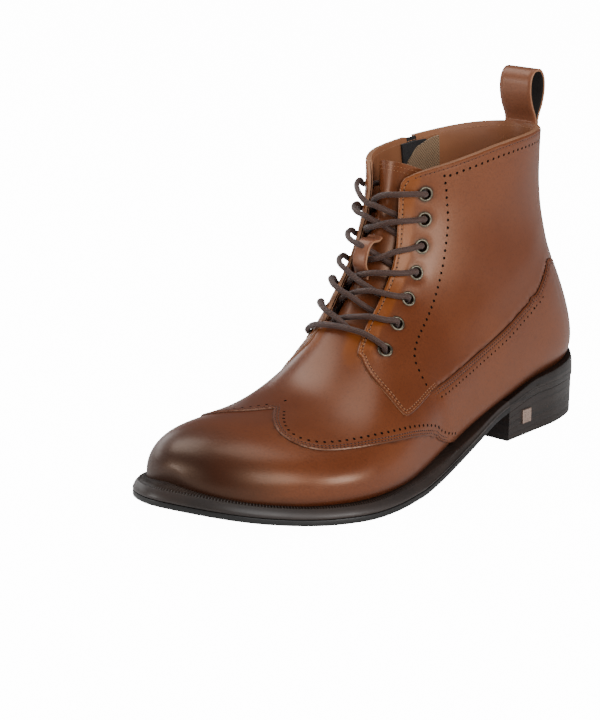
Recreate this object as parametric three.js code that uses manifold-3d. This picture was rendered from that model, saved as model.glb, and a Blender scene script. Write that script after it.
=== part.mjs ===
// Left wingtip derby ankle boot: last-shaped upper on a welted sole with a stacked heel.
// Millimetres, +Z up. The toe points to -X, the outer (lateral) side to -Y, the sole rests on z = 0.

import * as THREE from 'three';
import Module from 'manifold-3d';
import { mergeVertices } from 'three/addons/utils/BufferGeometryUtils.js';

const wasm = await Module();
wasm.setup();

// Driving sizes of the shoe
const soleLength = 300;
const ballWidth = 112;
const heelLift = 20.3;
const toeSpring = 12.8;
const shaftRise = 120;

// Sole layers
const outsoleThickness = 3.2;
const weltHeight = 5.6;
const weltLip = 3.6;
const weltReach = 13;
const weltShoulder = 0.35;
const soleEdgeRound = 0.7;
const breastAlong = 81;
const heelTaper = 0.9;
const heelEdge = 0.4;
const insoleThickness = 3;

// Leather and fits
const upperWall = 2.2;
const quarterLift = 1.3;
const toeStep = 0.8;
const overlayRoot = 0.5;
const lastingMargin = 17;
const gap = 0.3;
const seatClearance = 0.5;
const laceClearance = 0.5;

// Lacing
const eyeletBore = 4.6;
const eyeletBarrel = 5.6;
const eyeletFlange = 8;
const eyeletFlangeThickness = 0.7;
const laceDiameter = 2.8;
const tongueThickness = 2.2;
const keeperWidth = 11;
const keeperThickness = 1.5;
const keeperRise = 6.7;
const keeperShoulder = 0.8;

// Zip on the inner side
const zipSlotWidth = 8;
const zipTapeWidth = 20;
const zipTapeThickness = 0.9;
const zipChainWidth = 4.6;
const zipChainThickness = 1.6;
const zipTopAlong = 81;
const zipBottomAlong = 77;
const zipBottomZ = 50;
const sliderWidth = 8;
const sliderLength = 11;
const sliderThickness = 2.4;
const sliderLip = 2.6;
const lugWidth = 5;
const lugThickness = 1.2;
const lugLength = 3.4;
const pinDiameter = 1.4;
const pullWidth = 6.4;
const pullLength = 21;
const pullThickness = 1.2;
const pullEyeWall = 0.7;
const pullNeckLength = 4.2;
const guardThickness = 1;

// Pull loop at the back of the collar
const loopWidth = 21;
const loopThickness = 1.8;
const loopDepth = 12;
const loopRise = 28;
const loopStem = 13;
const loopFoot = 1.2;

// Bare plate on the outer side of the heel
const plateWidth = 7.4;
const plateHeight = 7.6;
const plateThickness = 0.8;
const plateAlong = 56;
const plateMiddleZ = 10.6;

// Resolution of the faceted surfaces
const outlineSteps = 2;
const sectionSteps = 1;
const ringSides = 26;
const smallSides = 8;
const laceSides = 5;
const laceSteps = 9;

const leather = { color: 0x70401f, roughness: 0.38, metalness: 0 };
const leatherDark = { color: 0x5f3820, roughness: 0.42, metalness: 0 };
const soleDark = { color: 0x2b2522, roughness: 0.6, metalness: 0 };
const weltBrown = { color: 0x4a423e, roughness: 0.55, metalness: 0 };
const heelStack = { color: 0x36261e, roughness: 0.5, metalness: 0 };
const lining = { color: 0x8a5a38, roughness: 0.7, metalness: 0 };
const laceCord = { color: 0x4c3a33, roughness: 0.75, metalness: 0 };
const antiqueBrass = { color: 0xb4a990, roughness: 0.35, metalness: 0.9 };
const paleMetal = { color: 0xd6b8a6, roughness: 0.25, metalness: 0.95 };
const zipMetal = { color: 0x8c8a86, roughness: 0.3, metalness: 0.9 };
const zipBlack = { color: 0x17161a, roughness: 0.8, metalness: 0 };
const guardCloth = { color: 0x7a6148, roughness: 0.9, metalness: 0 };

// Reads a short table: the first list names the columns, each further list is one row
function table(columns, rows) {
  return rows.map((row) => Object.fromEntries(columns.map((column, i) => [column, row[i]])));
}

// Sole outline, heel back to toe tip, as shares of sole length and ball width
const soleOutline = table(
  ['along', 'lateral', 'medial'],
  [
    [0.012, 0.150, 0.145],
    [0.050, 0.262, 0.250],
    [0.120, 0.322, 0.300],
    [0.200, 0.333, 0.296],
    [0.300, 0.347, 0.262],
    [0.400, 0.410, 0.243],
    [0.500, 0.475, 0.275],
    [0.600, 0.536, 0.352],
    [0.680, 0.567, 0.410],
    [0.760, 0.549, 0.434],
    [0.840, 0.472, 0.418],
    [0.900, 0.378, 0.372],
    [0.950, 0.250, 0.290],
    [0.985, 0.085, 0.185],
  ],
);
const toeTipAcross = -0.058;
const heelSeatAlong = 0.0818;
const waistAlong = 0.3;
const forepartAlong = 0.62;

// Underside of the outsole: how much of heel lift and toe spring it has along the sole,
// and what the seat of the upper rises over the plain welt
const soleProfile = table(
  ['along', 'heel', 'toe', 'seat'],
  [
    [0.00, 1.00, 0.00, 4.4],
    [0.08, 1.00, 0.00, 1.2],
    [0.18, 1.00, 0.00, -0.8],
    [0.26, 0.80, 0.00, -2.2],
    [0.36, 0.52, 0.00, -2.7],
    [0.46, 0.25, 0.00, -2.2],
    [0.54, 0.07, 0.00, -1.2],
    [0.60, 0.00, 0.00, -0.4],
    [0.70, 0.00, 0.00, 0.0],
    [0.80, 0.00, 0.14, 0.0],
    [0.90, 0.00, 0.48, 0.0],
    [1.00, 0.00, 1.00, 0.0],
  ],
);

// Sections of the last, from the toe tip to over the collar. Each is a plane from a front point
// to a back point; along is a share of sole length, rise a share of shaft rise over the seat,
// and lateral, medial and ridge are shares of ball width. The last three shape the section.
const lastSections = table(
  [
    'frontAlong', 'frontRise', 'backAlong', 'backRise',
    'lateral', 'medial', 'ridge', 'widest', 'upper', 'lower',
  ],
  [
    [0.963, 0.041, 0.963, 0.041, -0.045, 0.045, -0.045, 0.50, 2.0, 2.0],
    [0.963, 0.079, 0.963, 0.000, 0.022, 0.107, -0.045, 0.50, 2.0, 2.0],
    [0.958, 0.111, 0.958, -0.075, 0.098, 0.165, -0.045, 0.44, 2.0, 2.4],
    [0.947, 0.159, 0.947, -0.075, 0.188, 0.232, -0.045, 0.40, 2.0, 2.8],
    [0.920, 0.216, 0.920, -0.075, 0.286, 0.295, -0.036, 0.38, 2.0, 3.0],
    [0.877, 0.261, 0.877, -0.075, 0.393, 0.357, -0.018, 0.38, 2.0, 3.2],
    [0.817, 0.287, 0.817, -0.075, 0.478, 0.393, 0.000, 0.38, 2.0, 3.2],
    [0.750, 0.297, 0.747, -0.075, 0.536, 0.402, 0.018, 0.38, 2.0, 3.2],
    [0.693, 0.335, 0.677, -0.075, 0.549, 0.384, 0.027, 0.38, 2.0, 3.4],
    [0.650, 0.407, 0.603, -0.072, 0.522, 0.344, 0.027, 0.36, 2.0, 3.7],
    [0.610, 0.505, 0.510, -0.052, 0.464, 0.290, 0.018, 0.34, 2.0, 3.8],
    [0.573, 0.612, 0.390, -0.033, 0.397, 0.268, 0.009, 0.34, 2.0, 3.8],
    [0.540, 0.708, 0.260, -0.045, 0.348, 0.286, 0.000, 0.34, 2.0, 3.8],
    [0.515, 0.795, 0.127, -0.063, 0.326, 0.299, 0.000, 0.35, 2.0, 3.6],
    [0.497, 0.873, 0.013, -0.073, 0.312, 0.299, 0.000, 0.37, 2.1, 3.3],
    [0.483, 0.952, 0.003, 0.105, 0.295, 0.290, 0.000, 0.40, 2.1, 2.9],
    [0.475, 1.016, 0.025, 0.313, 0.272, 0.272, 0.000, 0.43, 2.1, 2.4],
    [0.470, 1.081, 0.060, 0.526, 0.254, 0.263, 0.000, 0.46, 2.1, 2.1],
    [0.467, 1.139, 0.078, 0.723, 0.259, 0.268, 0.000, 0.47, 2.1, 2.0],
    [0.463, 1.195, 0.082, 0.898, 0.268, 0.277, 0.000, 0.48, 2.1, 2.0],
    [0.458, 1.252, 0.082, 1.081, 0.281, 0.286, 0.000, 0.48, 2.1, 2.0],
    [0.453, 1.317, 0.083, 1.265, 0.290, 0.295, 0.000, 0.48, 2.1, 2.0],
  ],
);

// Collar line from the back to the rounded front corners of the facings, on both sides
const collarLine = table(
  ['along', 'lateral', 'medial'],
  [
    [0.000, 1.042, 1.042],
    [0.077, 1.042, 1.040],
    [0.120, 1.048, 1.035],
    [0.170, 1.056, 1.026],
    [0.220, 1.056, 1.018],
    [0.280, 1.048, 1.012],
    [0.343, 1.024, 1.008],
    [0.390, 1.000, 1.006],
    [0.423, 0.981, 1.000],
    [0.443, 0.963, 0.990],
    [0.453, 0.940, 0.968],
    [0.460, 0.905, 0.930],
    [0.466, 0.860, 0.880],
    [0.500, 0.700, 0.700],
    [0.900, 0.600, 0.600],
  ],
);

// Side view of the quarters: seam from the back down to the tab point, then up the facing edge
const quarterEdge = table(
  ['along', 'rise'],
  [
    [-0.100, 0.640],
    [0.060, 0.600],
    [0.155, 0.560],
    [0.230, 0.422],
    [0.360, 0.246],
    [0.500, 0.122],
    [0.575, 0.072],
    [0.602, 0.078],
    [0.615, 0.118],
    [0.622, 0.202],
    [0.617, 0.270],
    [0.603, 0.323],
    [0.590, 0.404],
    [0.700, 0.900],
    [0.700, 1.600],
    [-0.100, 1.600],
  ],
);

// Side view of the toe piece, from its end at the sole along the vamp's edge to the apex on the ridge
const wingEdge = table(
  ['along', 'rise'],
  [
    [0.400, -0.300],
    [0.466, 0.048],
    [0.540, 0.135],
    [0.620, 0.187],
    [0.702, 0.203],
    [0.779, 0.206],
    [0.809, 0.223],
    [0.817, 0.256],
    [0.797, 0.281],
    [0.767, 0.296],
    [0.736, 0.310],
    [0.720, 0.420],
    [1.100, 0.420],
    [1.100, -0.300],
  ],
);

// Half width of the throat between the facings, bottom to top
const throatGap = table(
  ['rise', 'half'],
  [
    [0.240, 14.0],
    [0.340, 14.2],
    [0.560, 14.4],
    [0.780, 12.0],
    [0.900, 9.8],
    [1.400, 8.0],
  ],
);
const throatBaseRise = 0.36;
const throatBackAlong = 0.33;

// Eyelets, bottom to top: section of the last and angle from the outer side towards the ridge
const eyeletPlaces = table(
  ['section', 'angle'],
  [
    [10.50, 54],
    [11.40, 53],
    [12.30, 53],
    [13.30, 55],
    [14.40, 56],
    [15.65, 55],
    [17.00, 53],
  ],
);

// Centre line of one side of the pull loop, from the stem up: depth and rise as shares
const loopShape = table(
  ['depth', 'rise'],
  [
    [0.06, 0.04],
    [0.12, 0.14],
    [0.36, 0.36],
    [0.50, 0.62],
    [0.44, 0.86],
    [0.22, 0.98],
  ],
);

// Free top edge of the cloth guard behind the zip, from the back: distance behind the zip's top
// end and below the collar
const guardEdge = table(
  ['behind', 'below'],
  [
    [18, 0],
    [12, 1],
    [2, 4],
    [-6, 10],
    [-11, 17],
  ],
);

const upAxis = new THREE.Vector3(0, 0, 1);
const degrees = Math.PI / 180;

// Smooth value of one column of a table, with no overshoot between its rows
function columnAt(rows, key, column, value) {
  const last = rows.length - 1;
  const x = THREE.MathUtils.clamp(value, rows[0][key], rows[last][key]);
  let i = 0;
  while (i < last - 1 && x > rows[i + 1][key]) i += 1;
  const slope = (k) => (rows[k + 1][column] - rows[k][column]) / (rows[k + 1][key] - rows[k][key]);
  const tangent = (k) => {
    if (k === 0) return slope(0);
    if (k === last) return slope(last - 1);
    const before = slope(k - 1);
    const after = slope(k);
    return before * after <= 0 ? 0 : (2 * before * after) / (before + after);
  };
  const span = rows[i + 1][key] - rows[i][key];
  const t = (x - rows[i][key]) / span;
  const rest = 1 - t;
  return (
    rest * rest * (1 + 2 * t) * rows[i][column] +
    t * rest * rest * span * tangent(i) +
    t * t * (3 - 2 * t) * rows[i + 1][column] -
    t * t * rest * span * tangent(i + 1)
  );
}

// Heights along the sole, for a distance from the back of the heel
function undersideZ(along) {
  const share = along / soleLength;
  const heel = columnAt(soleProfile, 'along', 'heel', share);
  return heelLift * heel + toeSpring * columnAt(soleProfile, 'along', 'toe', share);
}

function outsoleTopZ(along) {
  return undersideZ(along) + outsoleThickness;
}

function seatZ(along) {
  return outsoleTopZ(along) + weltHeight + columnAt(soleProfile, 'along', 'seat', along / soleLength);
}

const heelSeatZ = seatZ(heelSeatAlong * soleLength);

// Sole edge moved inwards by inset: points from the heel back round the outer side to the toe
// and back along the inner side, so that point i and point n - i lie across from each other
function outlineLoop(insetAt) {
  const lateral = soleOutline.map((row) => new THREE.Vector2(row.along, row.lateral));
  const medial = soleOutline.map((row) => new THREE.Vector2(row.along, -row.medial)).reverse();
  const corners = [new THREE.Vector2(0, 0), ...lateral, new THREE.Vector2(1, toeTipAcross), ...medial];
  const points = corners.map((corner) => new THREE.Vector3(corner.x * soleLength, corner.y * ballWidth, 0));
  const curve = new THREE.CatmullRomCurve3(points, true, 'centripetal');
  const count = corners.length * outlineSteps;
  const loop = [];
  for (let i = 0; i < count; i += 1) {
    const point = curve.getPoint(i / count);
    const tangent = curve.getTangent(i / count);
    const inset = insetAt(point.x);
    loop.push({ along: point.x + tangent.y * inset, across: point.y - tangent.x * inset });
  }
  return loop;
}

const fullOutline = outlineLoop(() => 0);
const widestLateral = Math.max(...fullOutline.map((point) => point.across));
const widestMedial = Math.min(...fullOutline.map((point) => point.across));
const middleAcross = (widestLateral + widestMedial) / 2;

// Shoe measures to the part's frame: along from the heel back, across towards the outer side
function place(along, across, z) {
  return new THREE.Vector3(soleLength / 2 - along, middleAcross - across, z);
}

// Closed faceted body from points and faces, with its faces turned outwards
function closedGeometry(points, faces) {
  let volume = 0;
  for (const [a, b, c] of faces) {
    volume += points[a].dot(new THREE.Vector3().crossVectors(points[b], points[c]));
  }
  const turned = volume < 0 ? faces.map(([a, b, c]) => [a, c, b]) : faces;
  const geometry = new THREE.BufferGeometry();
  geometry.setAttribute('position', new THREE.Float32BufferAttribute(points.flatMap((p) => p.toArray()), 3));
  geometry.setIndex(turned.flat());
  return geometry;
}

function solidOf(geometry) {
  const bare = geometry.clone();
  bare.deleteAttribute('normal');
  bare.deleteAttribute('uv');
  const merged = mergeVertices(bare, 1e-4);
  const vertProperties = new Float32Array(merged.attributes.position.array);
  const triVerts = new Uint32Array(merged.index.array);
  return new wasm.Manifold(new wasm.Mesh({ numProp: 3, vertProperties, triVerts }));
}

function geometryOf(solid) {
  const mesh = solid.getMesh();
  const geometry = new THREE.BufferGeometry();
  geometry.setAttribute('position', new THREE.Float32BufferAttribute(mesh.vertProperties, 3));
  geometry.setIndex(Array.from(mesh.triVerts));
  return geometry;
}

// Flat outline pushed through the shoe: side view outlines run across it, front view ones along it
function prism(corners, depth, basis) {
  const shape = new THREE.Shape(corners.map((corner) => new THREE.Vector2(corner[0], corner[1])));
  const geometry = new THREE.ExtrudeGeometry(shape, { depth, bevelEnabled: false, steps: 1 });
  return geometry.applyMatrix4(basis);
}

// Side view outline of [along, z] corners, over the given range across the shoe
function sidePrism(corners, fromAcross, toAcross) {
  const basis = new THREE.Matrix4().makeBasis(
    new THREE.Vector3(1, 0, 0),
    new THREE.Vector3(0, 0, 1),
    new THREE.Vector3(0, -1, 0),
  );
  basis.setPosition(0, middleAcross - fromAcross, 0);
  const outline = corners.map(([along, z]) => [soleLength / 2 - along, z]);
  return solidOf(prism(outline, toAcross - fromAcross, basis));
}

// Front view outline of [across, z] corners, over the given range along the shoe
function frontPrism(corners, fromAlong, toAlong) {
  const basis = new THREE.Matrix4().makeBasis(
    new THREE.Vector3(0, 1, 0),
    new THREE.Vector3(0, 0, 1),
    new THREE.Vector3(1, 0, 0),
  );
  basis.setPosition(soleLength / 2 - toAlong, 0, 0);
  const outline = corners.map(([across, z]) => [middleAcross - across, z]);
  return solidOf(prism(outline, toAlong - fromAlong, basis));
}

// Cutting bodies reach this far past the shoe
const farAcross = ballWidth;
const farZ = 3 * shaftRise;
const beyondSole = 0.1 * soleLength;
const profileStops = 49;

const spread = (from, to, count) => (
  Array.from({ length: count }, (_, i) => from + ((to - from) * i) / (count - 1))
);

// All that lies between two heights along the shoe
function between(lowerZ, upperZ) {
  const stops = spread(-beyondSole, soleLength + beyondSole, profileStops);
  const lower = stops.map((along) => [along, lowerZ(along)]);
  const upper = stops.map((along) => [along, upperZ(along)]).reverse();
  return sidePrism([...lower, ...upper], -farAcross, farAcross);
}

// Body made of rings round the sole edge; each ring has an inset and a height along the sole.
// It is capped at its first and last ring, or closed on itself as a strip round the sole.
function soleBody(rings, closedStrip) {
  const loops = rings.map((ring) => outlineLoop(ring.inset));
  const count = loops[0].length;
  const points = loops.flatMap((loop, k) => loop.map((p) => place(p.along, p.across, rings[k].z(p.along))));
  const faces = [];
  const joins = closedStrip ? rings.length : rings.length - 1;
  for (let k = 0; k < joins; k += 1) {
    const lower = k * count;
    const upper = ((k + 1) % rings.length) * count;
    for (let i = 0; i < count; i += 1) {
      const next = (i + 1) % count;
      faces.push([lower + i, lower + next, upper + next], [lower + i, upper + next, upper + i]);
    }
  }
  if (!closedStrip) {
    const top = (rings.length - 1) * count;
    for (let i = 0; i < count / 2; i += 1) {
      const across = (count - i) % count;
      const acrossNext = count - i - 1;
      if (i > 0) {
        faces.push([i, across, i + 1], [top + i, top + i + 1, top + across]);
      }
      if (i < count / 2 - 1) {
        faces.push([across, acrossNext, i + 1], [top + across, top + i + 1, top + acrossNext]);
      }
    }
  }
  return solidOf(closedGeometry(points, faces));
}

const evenly = (value) => () => value;

// The last as a smooth surface: control sections blended along it, a rounded outline across
const sectionColumns = [
  'frontAlong', 'frontZ', 'backAlong', 'backZ',
  'lateral', 'medial', 'ridge', 'widest', 'upper', 'lower',
];

function controlSections() {
  const rows = lastSections.map((row) => {
    const frontAlong = row.frontAlong * soleLength;
    const backAlong = row.backAlong * soleLength;
    return {
      ...row,
      frontAlong,
      backAlong,
      frontZ: seatZ(frontAlong) + row.frontRise * shaftRise,
      backZ: seatZ(backAlong) + row.backRise * shaftRise,
      lateral: row.lateral * ballWidth,
      medial: row.medial * ballWidth,
      ridge: row.ridge * ballWidth,
    };
  });
  const beyond = (end, inner) =>
    Object.fromEntries(sectionColumns.map((column) => [column, 2 * end[column] - inner[column]]));
  const last = rows.length - 1;
  return [beyond(rows[0], rows[1]), ...rows, beyond(rows[last], rows[last - 1])];
}

const controls = controlSections();
const topSection = lastSections.length - 1;

function sectionAt(section) {
  const i = Math.min(Math.floor(section), topSection - 1);
  const t = section - i;
  const weights = [
    (1 - t) ** 3,
    3 * t ** 3 - 6 * t ** 2 + 4,
    -3 * t ** 3 + 3 * t ** 2 + 3 * t + 1,
    t ** 3,
  ];
  const blend = (column) => (
    weights.reduce((sum, weight, k) => sum + weight * controls[i + k][column], 0) / 6
  );
  return Object.fromEntries(sectionColumns.map((column) => [column, blend(column)]));
}

// Point of the last: angle 0 is the outer side, 90 the ridge, 180 the inner side, 270 the sole
function lastPoint(section, angle) {
  const form = sectionAt(section);
  const cosine = Math.cos(angle * degrees);
  const sine = Math.sin(angle * degrees);
  const power = 2 / (sine >= 0 ? form.upper : form.lower);
  const side = Math.sign(cosine) * Math.abs(cosine) ** power;
  const height = Math.abs(sine) ** power;
  const across = form.ridge + (side >= 0 ? form.lateral - form.ridge : form.medial + form.ridge) * side;
  const share = sine >= 0 ? form.widest + (1 - form.widest) * height : form.widest * (1 - height);
  const along = THREE.MathUtils.lerp(form.backAlong, form.frontAlong, share);
  return place(along, across, THREE.MathUtils.lerp(form.backZ, form.frontZ, share));
}

const sectionNudge = 0.05;
const angleNudge = 2;

function lastNormal(section, angle) {
  const before = Math.max(section - sectionNudge, 0);
  const after = Math.min(section + sectionNudge, topSection);
  const onward = lastPoint(after, angle).sub(lastPoint(before, angle));
  const round = lastPoint(section, angle + angleNudge).sub(lastPoint(section, angle - angleNudge));
  return new THREE.Vector3().crossVectors(onward, round).normalize();
}

const toeDirection = new THREE.Vector3(-1, 0, 0);

// Point at a distance outside (or, below zero, inside) the surface of the last
function overLast(section, angle, offset) {
  const normal = section === 0 ? toeDirection.clone() : lastNormal(section, angle);
  return lastPoint(section, angle).addScaledVector(normal, offset);
}

// The whole last made larger or smaller by an offset, as a closed body
function lastBody(offset) {
  const rings = topSection * sectionSteps;
  const points = [overLast(0, 0, offset)];
  for (let i = 1; i <= rings; i += 1) {
    for (let j = 0; j < ringSides; j += 1) {
      points.push(overLast(i / sectionSteps, (360 * j) / ringSides, offset));
    }
  }
  const cap = points.length;
  points.push(lastPoint(topSection, 90).add(lastPoint(topSection, 270)).multiplyScalar(0.5));
  const faces = [];
  for (let j = 0; j < ringSides; j += 1) {
    const next = (j + 1) % ringSides;
    faces.push([0, 1 + j, 1 + next]);
    for (let i = 0; i < rings - 1; i += 1) {
      const near = 1 + i * ringSides;
      const far = near + ringSides;
      faces.push([near + j, far + next, near + next], [near + j, far + j, far + next]);
    }
    const rim = 1 + (rings - 1) * ringSides;
    faces.push([cap, rim + next, rim + j]);
  }
  return solidOf(closedGeometry(points, faces));
}

// Plate that follows the last: sections and angles span it, two offsets give its faces
function lastPatch(sections, angles, outerAt, thickness) {
  const rows = sections.length;
  const columns = angles.length;
  const points = [];
  for (const depth of [0, thickness]) {
    sections.forEach((section) => {
      angles.forEach((angle) => points.push(overLast(section, angle, outerAt(section) - depth)));
    });
  }
  const under = rows * columns;
  const at = (i, j) => i * columns + j;
  const faces = [];
  const quad = (a, b, c, d) => faces.push([a, b, c], [a, c, d]);
  for (let i = 0; i < rows - 1; i += 1) {
    for (let j = 0; j < columns - 1; j += 1) {
      quad(at(i, j), at(i, j + 1), at(i + 1, j + 1), at(i + 1, j));
      quad(under + at(i, j), under + at(i + 1, j), under + at(i + 1, j + 1), under + at(i, j + 1));
    }
    quad(at(i, 0), at(i + 1, 0), under + at(i + 1, 0), under + at(i, 0));
    const end = columns - 1;
    quad(at(i, end), under + at(i, end), under + at(i + 1, end), at(i + 1, end));
  }
  for (let j = 0; j < columns - 1; j += 1) {
    const end = rows - 1;
    quad(at(0, j), under + at(0, j), under + at(0, j + 1), at(0, j + 1));
    quad(at(end, j), at(end, j + 1), under + at(end, j + 1), under + at(end, j));
  }
  return closedGeometry(points, faces);
}

// Side view outline from a table of shares of sole length and of shaft rise over the seat
function sideOutline(rows) {
  return rows.map((row) => {
    const along = row.along * soleLength;
    return [along, seatZ(along) + row.rise * shaftRise];
  });
}

const seatGap = (along) => seatZ(along) + seatClearance;
const lastingTop = (along) => seatGap(along) + upperWall;

// Outsole: thin plate with a raised core that fills the space inside the welt
function makeOutsole() {
  return soleBody(
    [
      { inset: evenly(soleEdgeRound), z: undersideZ },
      { inset: evenly(0), z: (along) => undersideZ(along) + soleEdgeRound },
      { inset: evenly(0), z: outsoleTopZ },
      { inset: evenly(weltReach), z: outsoleTopZ },
      { inset: evenly(weltReach), z: seatZ },
    ],
    false,
  );
}

// Lip of the welt beyond the upper: wide round the forepart, close at waist and heel
function lipAt(along) {
  const forward = THREE.MathUtils.smoothstep(along, waistAlong * soleLength, forepartAlong * soleLength);
  return THREE.MathUtils.lerp(heelTaper, weltLip, forward);
}

// Strip round the sole on top of the outsole, sloping in towards the upper
function makeEdgeStrip() {
  return soleBody(
    [
      { inset: evenly(soleEdgeRound), z: (along) => outsoleTopZ(along) + gap },
      { inset: evenly(0), z: (along) => outsoleTopZ(along) + gap + soleEdgeRound },
      {
        inset: (along) => weltShoulder * lipAt(along),
        z: (along) => seatZ(along) - weltShoulder * weltHeight,
      },
      { inset: lipAt, z: seatZ },
      { inset: evenly(weltReach - gap), z: seatZ },
      { inset: evenly(weltReach - gap), z: (along) => outsoleTopZ(along) + gap },
    ],
    true,
  );
}

function alongRange(from, to) {
  return sidePrism([[from, -farZ], [to, -farZ], [to, farZ], [from, farZ]], -farAcross, farAcross);
}

function makeHeelBlock() {
  const block = soleBody(
    [
      { inset: evenly(heelTaper + heelEdge), z: evenly(0) },
      { inset: evenly(heelTaper), z: evenly(heelEdge) },
      { inset: evenly(heelEdge), z: (along) => Math.max(undersideZ(along) - gap, 2 * heelEdge) },
    ],
    false,
  );
  return block.intersect(alongRange(-beyondSole, breastAlong));
}

// All that lies over the collar line on one side of the shoe
function overCollar(column, fromAcross, toAcross) {
  const line = collarLine.map((row) => [row.along * soleLength, heelSeatZ + row[column] * shaftRise]);
  const first = [-beyondSole, line[0][1]];
  return sidePrism([first, ...line, [soleLength, farZ], [-beyondSole, farZ]], fromAcross, toAcross);
}

const collarCut = overCollar('lateral', 0, farAcross).add(overCollar('medial', -farAcross, 0));

// Slot between the facings, open upwards from the given rise over the seat
function throatSlot(bottomRise) {
  const foot = seatZ(throatBackAlong * soleLength);
  const rows = throatGap.filter((row) => row.rise > bottomRise);
  const bottom = { rise: bottomRise, half: columnAt(throatGap, 'rise', 'half', bottomRise) };
  const sides = [bottom, ...rows].map((row) => [row.half, foot + row.rise * shaftRise]);
  const mirrored = sides.map(([half, z]) => [-half, z]).reverse();
  return frontPrism([...sides, ...mirrored], throatBackAlong * soleLength, soleLength);
}

const zipTopZ = heelSeatZ + shaftRise;
const zipMiddleAt = (z) => THREE.MathUtils.mapLinear(z, zipBottomZ, zipTopZ, zipBottomAlong, zipTopAlong);

// Strip beside the zip line on the inner side of the shoe
function zipStrip(width, bottomZ, topZ) {
  const half = width / 2;
  const corners = [
    [zipMiddleAt(bottomZ) - half, bottomZ],
    [zipMiddleAt(bottomZ) + half, bottomZ],
    [zipMiddleAt(topZ) + half, topZ],
    [zipMiddleAt(topZ) - half, topZ],
  ];
  return sidePrism(corners, -farAcross, 0);
}

// Skin of the last between two offsets
function lastSkin(outer, inner) {
  return lastBody(outer).subtract(lastBody(inner));
}

function eyeletFrame(index, medialSide, offset) {
  const { section, angle } = eyeletPlaces[index];
  const own = medialSide ? 180 - angle : angle;
  return { position: overLast(section, own, offset), normal: lastNormal(section, own) };
}

function turned(geometry, frame) {
  const turn = new THREE.Quaternion().setFromUnitVectors(upAxis, frame.normal);
  return geometry.applyQuaternion(turn).translate(...frame.position.toArray());
}

const loopSection = 19.9;
const holeReach = 8;

// Hollow upper: wall of even thickness, lasting margin turned in under the foot, open collar,
// throat, lasting opening, zip slot and eyelet holes, with raised quarters and a vamp that steps
// down to the toe piece
function makeUpper() {
  const foot = between(seatGap, evenly(farZ));
  const outer = lastBody(0).intersect(foot);
  const hollow = lastBody(-upperWall).intersect(between(lastingTop, evenly(farZ)));
  const step = lastSkin(overlayRoot, -toeStep)
    .intersect(sidePrism(sideOutline(wingEdge), -farAcross, farAcross));
  const quarters = lastSkin(quarterLift, -overlayRoot)
    .intersect(sidePrism(sideOutline(quarterEdge), -farAcross, farAcross))
    .intersect(foot)
    .subtract(throatSlot(throatGap[0].rise));
  const lastingLoop = outlineLoop(evenly(lastingMargin)).map((p) => place(p.along, p.across, 0));
  const underInsole = between(evenly(-farZ), (along) => lastingTop(along) + gap);
  const footprint = prism(lastingLoop.map((p) => [p.x, p.y]), farZ, new THREE.Matrix4());
  const lastingHole = solidOf(footprint).intersect(underInsole);
  const wall = outer.subtract(throatSlot(throatBaseRise)).subtract(step);
  let upper = wall.add(quarters).subtract(hollow).subtract(lastingHole).subtract(collarCut);
  upper = upper.subtract(zipStrip(zipSlotWidth, zipBottomZ, farZ));
  for (const medialSide of [false, true]) {
    for (let i = 0; i < eyeletPlaces.length; i += 1) {
      const drill = new THREE.CylinderGeometry(
        eyeletBarrel / 2 + gap,
        eyeletBarrel / 2 + gap,
        holeReach,
        smallSides,
      ).rotateX(Math.PI / 2);
      upper = upper.subtract(solidOf(turned(drill, eyeletFrame(i, medialSide, 0))));
    }
  }
  return upper;
}

function makeInsole() {
  const bottom = (along) => lastingTop(along) + gap;
  const top = (along) => bottom(along) + insoleThickness;
  return lastBody(-upperWall - gap).intersect(between(bottom, top));
}

// Tongue: close under the vamp at its foot, deeper behind the facings so that the lace passes
const tongueFoot = 9.4;
const tongueTop = 18.5;
// Degrees to each side of the ridge
const tongueSpread = 38;
const tongueSections = spread(tongueFoot, tongueTop, 14);
const tongueAngles = spread(90 - tongueSpread, 90 + tongueSpread, 8);
const tongueTight = upperWall + gap;
const tongueDeep = upperWall + laceDiameter + laceClearance + gap;

function tongueDepth(section) {
  const deeper = THREE.MathUtils.smoothstep(section, tongueFoot + 0.2, tongueFoot + 0.9);
  return THREE.MathUtils.lerp(tongueTight, tongueDeep, deeper);
}

function makeTongue() {
  return lastPatch(tongueSections, tongueAngles, (section) => -tongueDepth(section), tongueThickness);
}

// Strip of even thickness along a side view line of [along, z] points, of the given width
function strap(line, thickness, width, middle) {
  const offset = (side) =>
    line.map(([along, z], i) => {
      const before = line[Math.max(i - 1, 0)];
      const after = line[Math.min(i + 1, line.length - 1)];
      const run = new THREE.Vector2(after[0] - before[0], after[1] - before[1]).normalize();
      return [along - (run.y * side * thickness) / 2, z + (run.x * side * thickness) / 2];
    });
  return sidePrism([...offset(1), ...offset(-1).reverse()], middle - width / 2, middle + width / 2);
}

// Side view point over the ridge of the last
function ridgePoint(section, offset) {
  const point = overLast(section, 90, offset);
  return [soleLength / 2 - point.x, point.z];
}

const keeperLine = table(
  ['section', 'rise'],
  [
    [13.15, 0],
    [13.35, keeperShoulder],
    [13.80, 1],
    [14.25, keeperShoulder],
    [14.45, 0],
  ],
);

// Keeper on the tongue: a band sewn down at both ends, arched over the lace
function makeKeeper() {
  const line = keeperLine.map(({ section, rise }) => {
    const foot = gap + keeperThickness / 2 - tongueDepth(section);
    return new THREE.Vector2(...ridgePoint(section, foot + rise * keeperRise));
  });
  const smooth = new THREE.SplineCurve(line).getPoints(12);
  return strap(smooth.map((p) => [p.x, p.y]), keeperThickness, keeperWidth, 0);
}

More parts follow.
